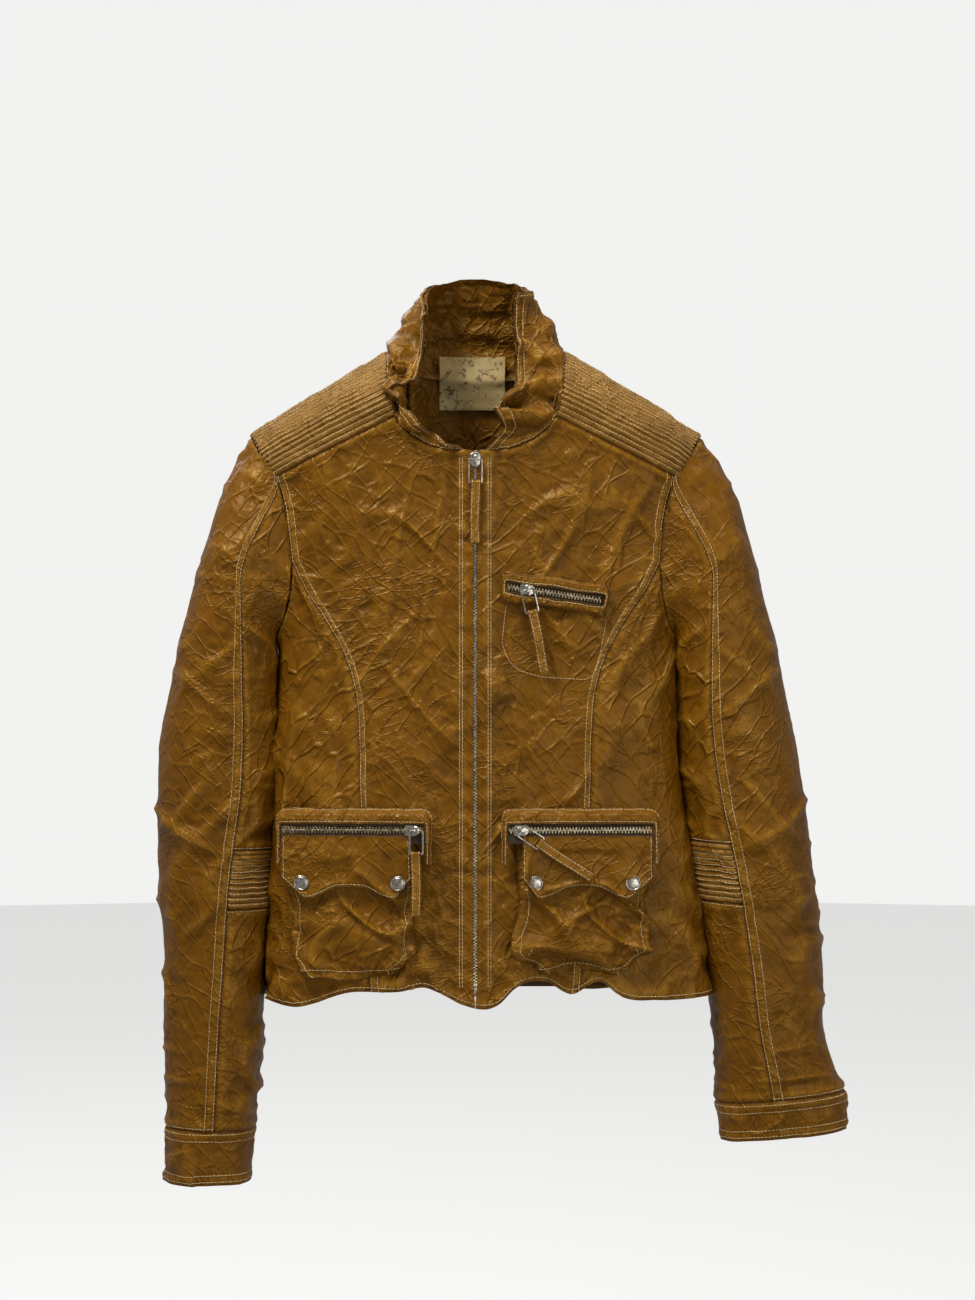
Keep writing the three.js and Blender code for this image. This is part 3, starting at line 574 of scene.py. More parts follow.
def startMaterial(name):
    material = bpy.data.materials.new(name)
    material.use_nodes = True
    tree = material.node_tree
    shader = tree.nodes["Principled BSDF"]
    place = makeNode(tree, "TexCoord", out="Object")
    return material, tree, shader, place


def noise(place, scale, detail=3.0, rough=0.55, out=0):
    return place.node("TexNoise", None, out, Vector=place, Scale=scale, Detail=detail, Roughness=rough)


def cracks(place, scale, width):
    edge = place.node(
        "TexVoronoi", {"feature": "DISTANCE_TO_EDGE"}, "Distance", Vector=place, Scale=scale, Randomness=1.0
    )
    return 1 - edge.ramp(0.0, width)


def finishMaterial(tree, shader, parts, bumps):
    for key, value in parts.items():
        put(tree, shader.inputs[key.replace("_", " ")], value)
    normal = None
    for height, distance in bumps:
        node = tree.nodes.new("ShaderNodeBump")
        node.inputs["Strength"].default_value = 1.0
        node.inputs["Distance"].default_value = distance
        put(tree, node.inputs["Height"], height)
        if normal is not None:
            tree.links.new(normal, node.inputs["Normal"])
        normal = node.outputs[0]
    if normal is not None:
        tree.links.new(normal, shader.inputs["Normal"])


leatherLook = {
    "dark": (0.05, 0.017, 0.0008),
    "mid": (0.158, 0.06, 0.002),
    "light": (0.3, 0.14, 0.012),
    "seam": (0.07, 0.026, 0.006),
    "roughness": 0.38,
    "puckerReach": 0.011,
}


def leatherMaterial(name, look):
    material, tree, shader, place = startMaterial(name)
    soft = place.moved(noise(place, 22.0, 2.0, out=1), 0.012)
    # Painted crease shade and ridge wear, read back from each panel's fold height.
    wear = makeNode(tree, "Attribute", {"attribute_name": "wear"}, out="Fac")
    seamUv = makeNode(tree, "UVMap", {"uv_map": "seam"})
    apart = makeNode(tree, "SeparateXYZ", out="Y", Vector=seamUv)
    along = makeNode(tree, "SeparateXYZ", out="X", Vector=seamUv)

    def pulled(turn, scale, width):
        turned = makeNode(
            tree, "Mapping", {"vector_type": "TEXTURE"}, Vector=soft, Rotation=(0, math.radians(turn), 0),
            Scale=(1, 1.2, 3.4),
        )
        return cracks(turned, scale, width)

    patches = noise(place, 11.0, 3.0).ramp(0.36, 0.64)
    others = noise(place, 17.0, 3.0).ramp(0.4, 0.66)
    bigCracks = pulled(38.0, 75.0, 0.1) * patches + pulled(-43.0, 80.0, 0.1) * (1 - patches)
    smallCracks = pulled(72.0, 170.0, 0.12) * others + pulled(-15.0, 190.0, 0.12) * (1 - others)
    mottling = noise(soft, 60.0, 5.0, 0.65).ramp(0.3, 0.75)
    grain = place.node("TexVoronoi", {"feature": "F1"}, "Distance", Vector=place, Scale=950.0)
    puckers = noise(makeNode(tree, "CombineXYZ", X=along * 1.0, Y=apart * 0.12), 330.0, 2.0)
    nearSeam = 1 - apart.ramp(0.0, look["puckerReach"])
    # The tone takes painted shade in the crease valleys and lighter rubbed wear on the ridges.
    lift = (wear - 0.5) * 0.36 + bigCracks * 0.07 + smallCracks * 0.05 + (mottling - 0.5) * 0.16
    tone = (lift + (patches - 0.5) * 0.12 + 0.5).clamp()
    low = tone.ramp(0.0, 0.5).mix(look["dark"], look["mid"])
    colour = tone.ramp(0.5, 1.05).mix(low, look["light"])
    inSeam = 1 - apart.ramp(0.0, 0.0016)
    colour = (inSeam * 0.75).mix(colour, look["seam"])
    beside = apart.ramp(0.0012, 0.003) * (1 - apart.ramp(0.003, 0.0095))
    rubbed = (beside * puckers.ramp(0.45, 0.75) * 0.3).clamp()
    colour = rubbed.mix(colour, look["light"])
    roughness = (mottling - 0.5) * 0.16 + look["roughness"] - (wear - 0.5) * 0.12
    finishMaterial(
        tree,
        shader,
        {
            "Base_Color": colour, "Roughness": roughness, "Specular_IOR_Level": 0.34,
            "Specular_Tint": (1.0, 0.74, 0.34),
        },
        [
            (bigCracks * (patches * 0.6 + 0.4), 0.0013),
            (smallCracks * others, 0.0005),
            (noise(soft, 48.0, 2.0, 0.5), 0.0042),
            (puckers * nearSeam, 0.0012),
            (grain, 0.00013),
        ],
    )
    return material


def clothMaterial(name, colour, thickness=0.0003, scale=1300.0):
    material, tree, shader, place = startMaterial(name)
    weave = place.node("TexWave", {"bands_direction": "Z"}, 1, Vector=place, Scale=scale, Distortion=1.0)
    cross = place.node("TexWave", {"bands_direction": "X"}, 1, Vector=place, Scale=scale, Distortion=1.0)
    stain = noise(place, 50.0, 4.0).ramp(0.35, 0.7)
    dark = tuple(c * 0.62 for c in colour)
    finishMaterial(
        tree,
        shader,
        {"Base_Color": stain.mix(dark, colour), "Roughness": 0.82},
        [(weave + cross, thickness)],
    )
    return material


def metalMaterial(name, colour, dark, roughness):
    material, tree, shader, place = startMaterial(name)
    rub = noise(place, 420.0, 4.0, 0.6).ramp(0.35, 0.65)
    scratch = noise(place.scaled((1, 1, 9)), 700.0, 3.0, 0.7)
    finishMaterial(
        tree,
        shader,
        {"Base_Color": rub.mix(dark, colour), "Metallic": 1.0, "Roughness": rub * -0.12 + roughness},
        [(scratch, 0.00008)],
    )
    return material


def labelMaterial(name):
    material, tree, shader, place = startMaterial(name)
    flecks = noise(place, 150.0, 4.0, 0.75).ramp(0.56, 0.6)
    cloud = noise(place, 40.0, 3.0).ramp(0.3, 0.7)
    base = cloud.mix((0.4, 0.28, 0.1), (0.55, 0.42, 0.18))
    finishMaterial(
        tree,
        shader,
        {"Base_Color": (flecks * 0.85).mix(base, (0.12, 0.035, 0.01)), "Roughness": 0.75},
        [(noise(place, 900.0, 2.0), 0.0002)],
    )
    return material


leather = leatherMaterial("tan leather", leatherLook)
quiltLook = {**leatherLook, "mid": (0.185, 0.082, 0.01), "light": (0.35, 0.18, 0.04), "roughness": 0.46}
quilt = leatherMaterial("quilted leather", quiltLook)
tabLook = {**leatherLook, "dark": (0.09, 0.033, 0.002), "mid": (0.24, 0.105, 0.012)}
tabLeather = leatherMaterial("tab leather", tabLook)
inside = clothMaterial("lining cloth", (0.075, 0.035, 0.014), 0.0001)
tape = clothMaterial("zip tape", (0.13, 0.075, 0.022), 0.0004, 900.0)
threadCloth = clothMaterial("thread", (0.88, 0.62, 0.27), 0.0001, 2500.0)
labelCloth = labelMaterial("label")
brass = metalMaterial("aged brass", (0.66, 0.56, 0.38), (0.2, 0.16, 0.1), 0.34)
nickel = metalMaterial("worn nickel", (0.62, 0.58, 0.5), (0.3, 0.27, 0.22), 0.24)
report("materials")


# Folds.
def bodyFolds(p, u, v):
    q = p * np.array([1, 0.6, 1])
    hang = 2.0 * warped(q, 70, 0, (1, 1, 2.4))
    pulls = 3.4 * drags(q, 34, 4, 38, 3.4, 1.8) + 3.2 * drags(q, 30, 6, -42, 3.2, 1.8)
    pulls = pulls + 2.0 * drags(q, 24, 9, 8, 4.2, 1.8)
    fine = 0.9 * drags(q, 11, 2, 62, 3.6) + 0.8 * drags(q, 10, 7, -25, 3.6) + 0.5 * drags(q, 7, 5, 80, 3.0)
    low = smooth(-p[..., 2], 370, 500)
    middle = bump(np.abs(p[..., 0]) - 24, 20) * smooth(-p[..., 2], 100, 260)
    crush = 2.6 * creases(q, 21, 2, (1, 1, 1), 0.3) + 2.2 * warped(q, 17, 5)
    made = hang + pulls + fine + crush * np.maximum(low, 0.5 * middle) - 2.6
    return np.maximum(made, -0.4 - 3.2 * smooth(np.abs(p[..., 0]), 12, 20))


def sleeveFolds(p, u, v):
    side = np.sign(p[..., :1])
    q = p * np.concatenate([side, np.ones_like(side) * 0.6, np.ones_like(side)], axis=-1)
    low = smooth(-p[..., 2], 220, 420)
    hang = 2.4 * warped(q, 66, 1, (1, 1, 2.0))
    pulls = 3.2 * drags(q, 34, 3, 52, 3.2, 1.6) + 3.2 * drags(q, 31, 7, -48, 3.2, 1.6)
    pulls = pulls + 1.6 * drags(q, 21, 10, 85, 3.0, 1.7)
    fine = 0.6 * drags(q, 11, 2, 70, 3.6) + 0.55 * drags(q, 9, 8, -35, 3.6) + 0.3 * drags(q, 6.5, 5, 30, 3.0)
    return 6.5 * np.tanh((hang + pulls * (0.65 + 0.6 * low) + fine - 2.8) / 6.5)


hemWave = [
    (-178, 0), (-152, -6), (-102, 7), (-61, 8), (-41, 11), (-29, 7), (-12, -2), (20, -2), (33, 11), (57, 16),
    (78, 6), (102, 16), (119, 4), (152, 0), (195, 1),
]


def wavyHem(p, u, v):
    near = smooth(-p[..., 2], body["hemDrop"] - 110, body["hemDrop"])
    front = p[..., 1] < 0
    p[..., 2] += near * np.where(front, through(hemWave, p[..., 0]), 4 * np.sin(p[..., 0] / 21))
    return p


# Body.
zipLip = 1.5


def onSide(chart, side):
    def at(u, v):
        c = chart(u, v)
        return onBody(c[..., 0], c[..., 1], side)

    return mirrored(side, at)


def lips(p, u, v, far):
    middle = np.abs(p[..., 0])
    z = p[..., 2:3] * np.array([0, 0, 1.0])
    pucker = 1.5 * warped(z + p * np.array([0.25, 0, 0]), 8.5, 4, (1, 1, 1), 0.3)
    placket = bump(middle - 9, 6)
    line = -0.5 * bump(middle - 13, 1.2) - 0.35 * bump(middle - 5.6, 0.9)
    return pucker * placket + 0.5 * placket + line


def flattened(side, p, u, v):
    # The body stays clear of the slider's path.
    middle = np.abs(p[..., 0])
    ahead = onBodyAt(np.minimum(middle, 160), p[..., 2], side, True)[..., 1]
    keep = 1 - smooth(middle, 5.0, 8.5)
    p[..., 1] = np.where(middle < 9, keep * np.maximum(p[..., 1], ahead) + (1 - keep) * p[..., 1], p[..., 1])
    return wavyHem(p, u, v)


bodyName = "jacket"
panels = {}
for side in (1, -1):
    name = "left" if side > 0 else "right"
    turnEdge = lambda z, side=side: corner(zipLip, z, side)
    front = between(
        line(turnEdge(hemZ), corner(princessHem, hemZ, side)),
        joined(seam(neckline, side, True), seam([neckFront, yokeFront], side, True), 0.4),
        line(turnEdge(hemZ), turnEdge(-80)),
        joined(seam(princess, side, True), seam(armholeHigh, side, True), 0.8),
    )

    def clearFront(u, v, front=front, side=side):
        c = front(u, v)
        start, z = turnAt(np.float64(zipLip), c[..., 1], side, True), c[..., 1]
        # Below the zip the two lips meet.
        meet = (start - turnAt(np.float64(0.15), z, side, True)) * (1 - smooth(z, -527, -514))
        c[..., 0] = np.maximum(c[..., 0], start) - meet * (1 - smooth(u, 0.0, 0.06))
        return c

    outer = "right" if side > 0 else "left"
    panels[name + "_front_panel"] = makePanel(
        name + "_front_panel", onSide(clearFront, side), (150, 470), leather, bodyName,
        {
            "folds": bodyFolds, "sewn": (outer, "top"), "hems": ("bottom",), "detail": lips,
            "shift": lambda p, u, v, side=side: flattened(side, p, u, v),
            "rows": {outer: (1.6, 7.4), "bottom": (3.5,)}, "thickness": 1.05,
        },
    )
    foot, armpit = (math.pi / 2, hemZ), (math.pi / 2, armpitZ)
    flank = between(
        line(corner(princessHem, hemZ, side), foot),
        seam(armholeLow, side, True),
        seam(princess, side, True),
        line(foot, armpit),
    )
    panels[name + "_side_panel"] = makePanel(
        name + "_side_panel", onSide(flank, side), (95, 330), leather, bodyName,
        {
            "folds": bodyFolds, "sewn": ("left", "right", "top"), "hems": ("bottom",), "shift": wavyHem,
            "rows": {"bottom": (3.5,)},
        },
    )
    backFlank = between(
        line(foot, corner(princessHem, hemZ, side, False)),
        lambda t, side=side: seam(armholeLow, side, False)(1 - np.asarray(t, float)),
        line(foot, armpit),
        seam(princess, side, False),
    )
    panels[name + "_back_side_panel"] = makePanel(
        name + "_back_side_panel", onSide(backFlank, side), (95, 330), leather, bodyName,
        {
            "folds": bodyFolds, "sewn": ("left", "right", "top"), "hems": ("bottom",), "shift": wavyHem,
            "rows": {"bottom": (3.5,)}, "mesh": (3, 3),
        },
    )


def backPlace():
    def edge(side):
        return joined(seam(princess, side, False), seam(armholeBackHigh, side, False), 0.8)

    def across(curve):
        def at(t):
            p = curve(t).copy()
            p[..., 0] = 2 * math.pi - p[..., 0]
            return p

        return at

    def shoulder(side):
        high = joined(
            lambda t: seam(neckBackLine, side, False)(1 - t), seam(yokeBackLine, side, False), 0.4
        )
        return lambda t: high(1 - np.asarray(t, float))

    def top(t):
        t = np.asarray(t, float)
        here, there = shoulder(1)(np.clip(2 * t, 0, 1)), across(shoulder(-1))(np.clip(2 - 2 * t, 0, 1))
        return np.where((t < 0.5)[..., None], here, there)

    left = corner(princessHem, hemZ, 1, False)
    right = corner(princessHem, hemZ, -1, False)
    chart = between(line(left, (2 * math.pi - right[0], hemZ)), top, edge(1), across(edge(-1)))

    def place(u, v):
        c = chart(u, v)
        left = c[..., 0] <= math.pi
        here = onBody(c[..., 0], c[..., 1], 1)
        there = onBody(2 * math.pi - c[..., 0], c[..., 1], -1)
        there[..., 0] *= -1
        return np.where(left[..., None], here, there)

    return place


panels["back_panel"] = makePanel(
    "back_panel", backPlace(), (290, 500), leather, bodyName,
    {
        "folds": bodyFolds, "sewn": ("left", "right", "top"), "hems": ("bottom",), "shift": wavyHem,
        "rows": {"left": (1.6, 7.4), "right": (1.6, 7.4), "bottom": (3.5,)}, "mesh": (3, 3),
    },
)
report("body")


# Quilted shoulder yokes.
quilting = {"pitch": 5.0, "depth": 0.9}


def overAt(fall):
    r = body["shoulderRound"]
    return np.where(fall < r, np.arccos(1 - np.clip(fall, 0, r) / r), math.pi / 2 + fall / r - 1)


def fallAt(over):
    r = body["shoulderRound"]
    a = np.abs(over)
    return np.where(a < math.pi / 2, r * (1 - np.cos(a)), r * (1 + a - math.pi / 2))


def yokePlace(side):
    def over(p, face):
        return (p[0], face * float(overAt(np.float64(max(ridge(p[0]) - p[1], 0)))))

    def run(points, face):
        drawn = spline(points)

        def at(t):
            p = drawn(np.asarray(t, float))
            return np.stack([p[..., 0], face * overAt(np.maximum(ridge(p[..., 0]) - p[..., 1], 0))], axis=-1)

        return at

    neckSide = spline(
        [
            over(neckFront, -1), over((71, -32), -1), over((73.5, -10), -1), (74, 0), over((71, 1), 1),
            over(neckBack, 1),
        ]
    )
    armSide = spline(
        [over(yokeFront, -1), over((180, -80), -1), (189.9, 0), over((181, -80), 1), over(yokeBack, 1)]
    )
    chart = between(run([neckFront, yokeFront], -1), run(yokeBackLine, 1), neckSide, armSide)

    def at(u, v):
        c = chart(u, v)
        x, turn = c[..., 0], c[..., 1]
        z = ridge(x) - fallAt(turn)
        share = np.minimum(x / halfWidth(-z, side), 1)
        lean = np.maximum(1 - share ** body["sectionPower"], 0) ** (1 / body["sectionPower"])
        y = depthAt(-z, turn < 0) * lean * np.sin(np.clip(turn, -math.pi / 2, math.pi / 2))
        return np.stack([x, y, z], axis=-1)

    return mirrored(side, at)


def yokeFolds(p, u, v):
    # Along its two long seams a yoke takes the folds of the panels it is sewn to.
    own = 1.2 * warped(p, 40, 6) + 0.6 * creases(p, 22, 1) - 0.5
    near = bump(np.minimum(v, 1 - v), 0.08)
    return own * (1 - near) + bodyFolds(p, u, v) * near


def quiltRows(edge, spec):
    def at(p, u, v, far):
        channel = np.abs(np.sin(np.pi * far[edge] / spec["pitch"]))
        gather = 0.35 * warped(p, 6, 5, (1, 1, 1)) * (0.4 + channel)
        return spec["depth"] * channel**0.7 + gather

    return at


for side in (1, -1):
    name = ("left" if side > 0 else "right") + "_shoulder_yoke"
    count = 24
    panels[name] = makePanel(
        name, yokePlace(side), (125, 130), quilt, bodyName,
        {
            "sewn": edgeNames, "detail": quiltRows("bottom", quilting), "mesh": (2.0, 0.8), "pucker": 0.2,
            "roll": 1.0, "thickness": 1.5, "swell": 0.0,
            "folds": yokeFolds,
            "rows": {"bottom": tuple(quilting["pitch"] * k for k in range(1, count))},
        },
    )
report("yokes")


# Sleeves.
sleevePower = 2.2
outerEdge = {
    1: [
        (0, 0), (19, 26), (34, 60), (50, 124), (67, 188), (80, 250), (89, 306), (95, 353), (99, 398),
        (103, 448), (103, 494), (112, 528), (119, 547), (122, 579),
    ],
    -1: [
        (0, 0), (16, 26), (30, 64), (47, 126), (65, 193), (77, 251), (79, 301), (79, 344), (77, 391),
        (74, 441), (74, 496), (72, 546), (71, 577), (71, 623),
    ],
}
innerEdge = {
    1: [
        (0, 0), (6, 9), (8, 19), (9, 34), (10, 61), (13, 104), (17, 141), (21, 179), (26, 224),
        (31, 274), (35, 323), (38, 362), (38, 389), (42, 421),
    ],
    -1: [
        (0, 0), (6, 9), (7, 19), (7, 34), (7, 59), (6, 104), (7, 141), (9, 179), (12, 224),
        (15, 274), (16, 329), (19, 379), (21, 410), (25, 455),
    ],
}
sleeveDepth = [46, 49, 51, 52, 52, 51, 49, 48, 47, 45, 43, 41, 39, 37]
seamTurns = [(0, 50), (1, 72), (2, 90), (4, 112), (8, 106), (13, 98)]
armholeTurns = [0, 26, 50, 72, 94, 122, 152, 180]
sleeveLength = {1: 579, -1: 623}
cuffHeight = {1: 32, -1: 46}


def closer(drop):
    # The sleeves hang against the body down to the pockets.
    return float(np.interp(drop, [0, 12, 40, 130, 180, 260, 340], [0, 9, 13.5, 14.5, 13.5, 11, 6]))


def sleeveShape(side):
    tip = (body["shoulderHalf"], -body["shoulderDrop"])
    outer = spline([(tip[0] + o, tip[1] - d) for o, d in outerEdge[side]])
    inner = spline([(chestHalf + o - closer(d), armpitZ - d) for o, d in innerEdge[side]])
    front = np.array([tip, (180, -80), yokeFront, (157, -130), princessTop, *armholeLow[1:]], float)

    def hole(turn):
        ahead = turn <= 180
        degrees = np.where(ahead, turn, 360 - turn)
        x = np.interp(degrees, armholeTurns, front[:, 0])
        z = np.interp(degrees, armholeTurns, front[:, 1])
        p = onBodyAt(np.minimum(x, halfWidth(-z, side)), z, side, ahead)
        p[..., 0] -= 1.2 * np.abs(np.cos(np.radians(turn / 2)))
        return p

    def at(turn, station):
        t = station / 13
        o, i = outer(t), inner(t)
        turn = np.mod(turn, 360)
        c, s = np.cos(np.radians(turn)), np.sin(np.radians(turn))
        scale = (np.abs(c) ** sleevePower + np.abs(s) ** sleevePower) ** (-1 / sleevePower)
        depth = through(list(enumerate(sleeveDepth)), station)
        x = (o[..., 0] + i[..., 0]) / 2 + (o[..., 0] - i[..., 0]) / 2 * c * scale
        z = (o[..., 1] + i[..., 1]) / 2 + (o[..., 1] - i[..., 1]) / 2 * c * scale
        p = np.stack([x, -depth * s * scale, z], axis=-1)
        free = smooth(station, 0, 2)[..., None]
        return hole(turn) * (1 - free) + p * free

    return at


def cuffFolds(p, u, v):
    pulls = 2.0 * drags(p, 15, 7, 70, 2.6) + 1.4 * drags(p, 12, 3, -30, 2.6)
    return 2.2 * warped(p, 24, 4, (1, 1, 2.5)) + pulls - 1.6


for side in (1, -1):
    name = "left" if side > 0 else "right"
    shape = sleeveShape(side)
    drops = [(d, k) for k, (o, d) in enumerate(outerEdge[side])]
    stationAt = lambda drop: float(through(drops, np.float64(drop)))
    cuffTop = stationAt(sleeveLength[side] - cuffHeight[side])
    elbow = (stationAt(343), stationAt(393))
    sleeveBody = name + "_sleeve"
    bend = (bodyName, sleeveBody, (side * 0.185, 0, -0.235), (side * 0.235, 0, -0.33))

    def sleevePart(begin, end, low, high, shape=shape, side=side):
        def at(u, v):
            station = np.maximum(low + (high - low) * v, 0)
            a, b = begin(station), end(station)
            return shape(a + (b - a) * u, station)

        return mirrored(side, at)

    seamTurn = lambda s: through(seamTurns, s)
    rows = {"left": (1.6, 8.6), "right": (1.6, 8.6), "bottom": (2.5,)}
    panels[name + "_upper_sleeve"] = makePanel(
        name + "_upper_sleeve", sleevePart(seamTurn, lambda s: -seamTurn(s), cuffTop, 0), (165, 560), leather,
        bend,
        {"folds": sleeveFolds, "sewn": ("left", "right", "top", "bottom"), "rows": rows},
    )
    under = lambda low, high: sleevePart(lambda s: 360 - seamTurn(s), seamTurn, low, high)
    panels[name + "_undersleeve_top"] = makePanel(
        name + "_undersleeve_top", under(elbow[0], 0), (120, 280), leather, bend,
        {"folds": sleeveFolds, "sewn": edgeNames, "rows": {"bottom": (2.0,)}},
    )
    panels[name + "_elbow_panel"] = makePanel(
        name + "_elbow_panel", under(elbow[1], elbow[0]), (110, 50), quilt, sleeveBody,
        {
            "sewn": edgeNames, "mesh": (2.0, 0.8), "detail": quiltRows("bottom", quilting), "pucker": 0.2,
            "swell": 0, "folds": lambda p, u, v: 0.5 * sleeveFolds(p, u, v), "thickness": 1.5,
            "rows": {"bottom": tuple(quilting["pitch"] * k for k in range(1, 10))},
        },
    )
    panels[name + "_undersleeve_bottom"] = makePanel(
        name + "_undersleeve_bottom", under(cuffTop, elbow[1]), (110, 150), leather, sleeveBody,
        {"folds": sleeveFolds, "sewn": edgeNames, "rows": {"top": (2.0,)}},
    )

    def cuffPlace(u, v, shape=shape, cuffTop=cuffTop):
        return shape(360 * (1 - u) + 200, 13 - (13 - cuffTop) * v)

    panels[name + "_cuff"] = makePanel(
        name + "_cuff", mirrored(side, cuffPlace), (240, cuffHeight[side]), leather, sleeveBody,
        {
            "folds": cuffFolds, "sewn": ("top",), "hems": ("bottom",), "thickness": 1.5,
            "rows": {"top": (3.0, 9.0), "bottom": (3.0, 8.5)}, "mesh": (1.8, 1.8),
        },
    )
report("sleeves")


# Collar, neck facing, label and lining.
collarTop = 72
collarHalf = {"front": 40, "side": 43}
collarDepth = {"front": 36, "back": 35}
# Paths of the two front edges, as x and z up from the neck seam: one has buckled outwards at its foot.
collarEdge = {
    1: [(8, -80, 0), (22, -66, -4), (19, -56, -7), (13, -47, -5), (30, -37, -7), (33, -5, -2), (33, 51, 0)],
    -1: [(8, -80, 0), (32, -71, -4), (50, -52, -8), (69, -37, -9), (62, -26, -8), (47, -18, -3), (44, 34, 0)],
}


def neckSeam():
    def half(side):
        front = [(8, -80), (30, -77), (52, -67), (66, -52), (71, -32)]
        points = [onBodyAt(np.float64(x), np.float64(z), side, True) for x, z in front]
        rim = [(73.5, -10, True), (74, 5.99, True), (71, 1, False), (60, -7, False), (40, -12, False)]
        points += [onBodyAt(np.float64(x), np.float64(z), side, f) for x, z, f in rim]
        return [p * np.array([side, 1, 1]) for p in points]

    back = onBodyAt(np.float64(0), np.float64(-15), 1, False)
    return spline([*half(1), back, *half(-1)[::-1]])


def collarPlace():
    base = neckSeam()

    def rim(side):
        f, s, b = collarDepth["front"], collarHalf["side"], collarDepth["back"]
        x, z, _ = collarEdge[side][-1]
        return [
            (side * x, -f, z),
            (side * (s + 2), -f * 0.6, (z + collarTop) / 2 - 8),
            (side * s, 4, collarTop - 12),
            (side * s * 0.6, b - 5, collarTop - 3),
        ]

    top = spline([*rim(1), (-4, collarDepth["back"], collarTop), *rim(-1)[::-1]])
    foot = base(np.array([0.0, 1.0]))
    ends = {1: (foot[0], top(np.float64(0))), -1: (foot[1], top(np.float64(1)))}
    paths = {}
    for side, (low, high) in ends.items():
        t = np.linspace(0, 1, len(collarEdge[side]))
        straight = low * (1 - t)[:, None] + high * t[:, None]
        wanted = [(side * x, straight[k, 1] + y, z) for k, (x, z, y) in enumerate(collarEdge[side])]
        paths[side] = (spline(wanted), low, high)

    def place(u, v):
        foot = base(u)
        vv = v[..., None]
        p = foot * (1 - vv) + top(u) * vv
        out = unit(p * np.array([1, 1, 0]))
        p = p + out * 7 * np.sin(np.pi * vv**0.8)
        # Its foot is tucked under the edge it is sewn to.
        p = p - (1.6 * out + np.array([0, 0, 2.5])) * (1 - smooth(vv, 0.0, 0.05))
        for side, (path, low, high) in paths.items():
            apart = u if side > 0 else 1 - u
            near = ((1 - smooth(apart, 0.0, 0.2)) ** 1.5)[..., None]
            straight = low * (1 - vv) + high * vv
            p = p + (path(v) - straight) * near
        return p

    return place


def collarFolds(p, u, v):
    # The collar slumps: hard folds run round it near the neck seam, and upright ones near the front edges.
    front = bump(np.minimum(u, 1 - u), 0.24)
    q = p * np.array([0.7, 0.7, 1.0])
    low = smooth(v, 0.02, 0.12) * (1 - smooth(v, 0.45, 0.85))
    roll = 4.2 * np.sin(p[..., 2] / 4.6 + 2.2 * warped(q, 34, 4)) * low * (0.35 + 0.8 * front)
    crush = 3.2 * creases(q, 19, 2, (1.2, 1.2, 1), 0.4, 1.3) * (0.4 + 0.9 * front) * smooth(v, 0.02, 0.15)
    upright = 2.4 * drags(q, 16, 5, 12, 3.5, 1.5) + 1.8 * drags(q, 13, 8, -35, 3.0, 1.5)
    return roll + crush + upright * (0.5 + 0.5 * v) + 0.8 * creases(q, 8, 1) - 3.0


collarLook = {
    "folds": collarFolds, "sewn": ("bottom",), "hems": ("top", "left", "right"), "mesh": (1.7, 1.5),
    "rows": {"top": (3.5,), "left": (2.0, 10.0), "right": (2.0, 10.0), "bottom": (4.2,)}, "pucker": 0.9,
    "thickness": 1.4,
}
panels["collar"] = makePanel("collar", collarPlace(), (330, 120), leather, bodyName, collarLook)


facingInside = 2.9


def facingPlace():
    outer = collarPlace()

    def place(u, v):
        p = outer(u, v)
        return p - unit(p * np.array([1, 1, 0])) * facingInside

    return place


panels["collar_facing"] = makePanel(
    "collar_facing", facingPlace(), (330, 105), leather, bodyName,
    {**collarLook, "rows": {"top": (24.0, 29.0), "bottom": (4.0,)}, "thickness": 0.8, "swell": 0.0},
)


def neckPatch(out, top, bottom, inside, curve=0.0):
    def place(u, v):
        x = out * (1 - 2 * u)
        z = bottom + (top - bottom) * v + curve * (x / out) ** 2
        p = onBodyAt(np.abs(x), z, 1, False)
        p[..., 0] = x
        p[..., 1] -= inside
        return p

    return place


panels["back_neck_facing"] = makePanel(
    "back_neck_facing", neckPatch(58, -13, -92, 3.4, 6), (118, 78), leather, bodyName,
    {
        "folds": lambda p, u, v: 0.8 * warped(p, 30, 3) + 0.6 * creases(p, 16, 4),
        "sewn": ("bottom", "left", "right"), "thickness": 1.0, "rows": {"bottom": (3.0,)},
    },
)
label = {"half": 28, "aside": 3, "bottom": -39, "height": 45}


def labelPlace(u, v):
    inner = facingPlace()
    x = label["half"] * (1 - 2 * u) - label["aside"]
    z = label["bottom"] + label["height"] * v
    # Above the neck seam it lies on the collar's facing, below it on the one inside the back.
    low = onBodyAt(np.abs(x), np.minimum(z, -16), 1, False)[..., 1] - 5.4
    high = inner(0.5 - x / 330, np.clip((z + 15) / 87, 0, 1))[..., 1] - 4.4
    share = smooth(z, -24, -8)
    return np.stack([x, low * (1 - share) + high * share - 1.5, z], axis=-1)


panels["neck_label"] = makePanel(
    "neck_label", labelPlace, (56, 46), labelCloth, bodyName,
    {
        "folds": lambda p, u, v: 0.9 * warped(p, 24, 6) + 0.4 * creases(p, 12, 2), "hems": edgeNames,
        "thickness": 0.5, "pucker": 0.15, "swell": 0.0, "rows": {e: (1.5,) for e in edgeNames},
    },
)


lining = {"bottom": -519, "top": -238, "inside": 4.2, "opening": 21}


def liningPlace(u, v):
    start = float(turnAt(np.float64(lining["opening"]), np.float64(armpitZ), 1, True))
    turn = start + (2 * math.pi - 2 * start) * u
    z = lining["bottom"] + (lining["top"] - lining["bottom"]) * v
    here = onBody(np.minimum(turn, math.pi), z, 1)
    there = onBody(2 * math.pi - np.maximum(turn, math.pi), z, -1)
    there[..., 0] *= -1
    p = np.where((turn <= math.pi)[..., None], here, there)
    return p - gridNormals(p) * lining["inside"]


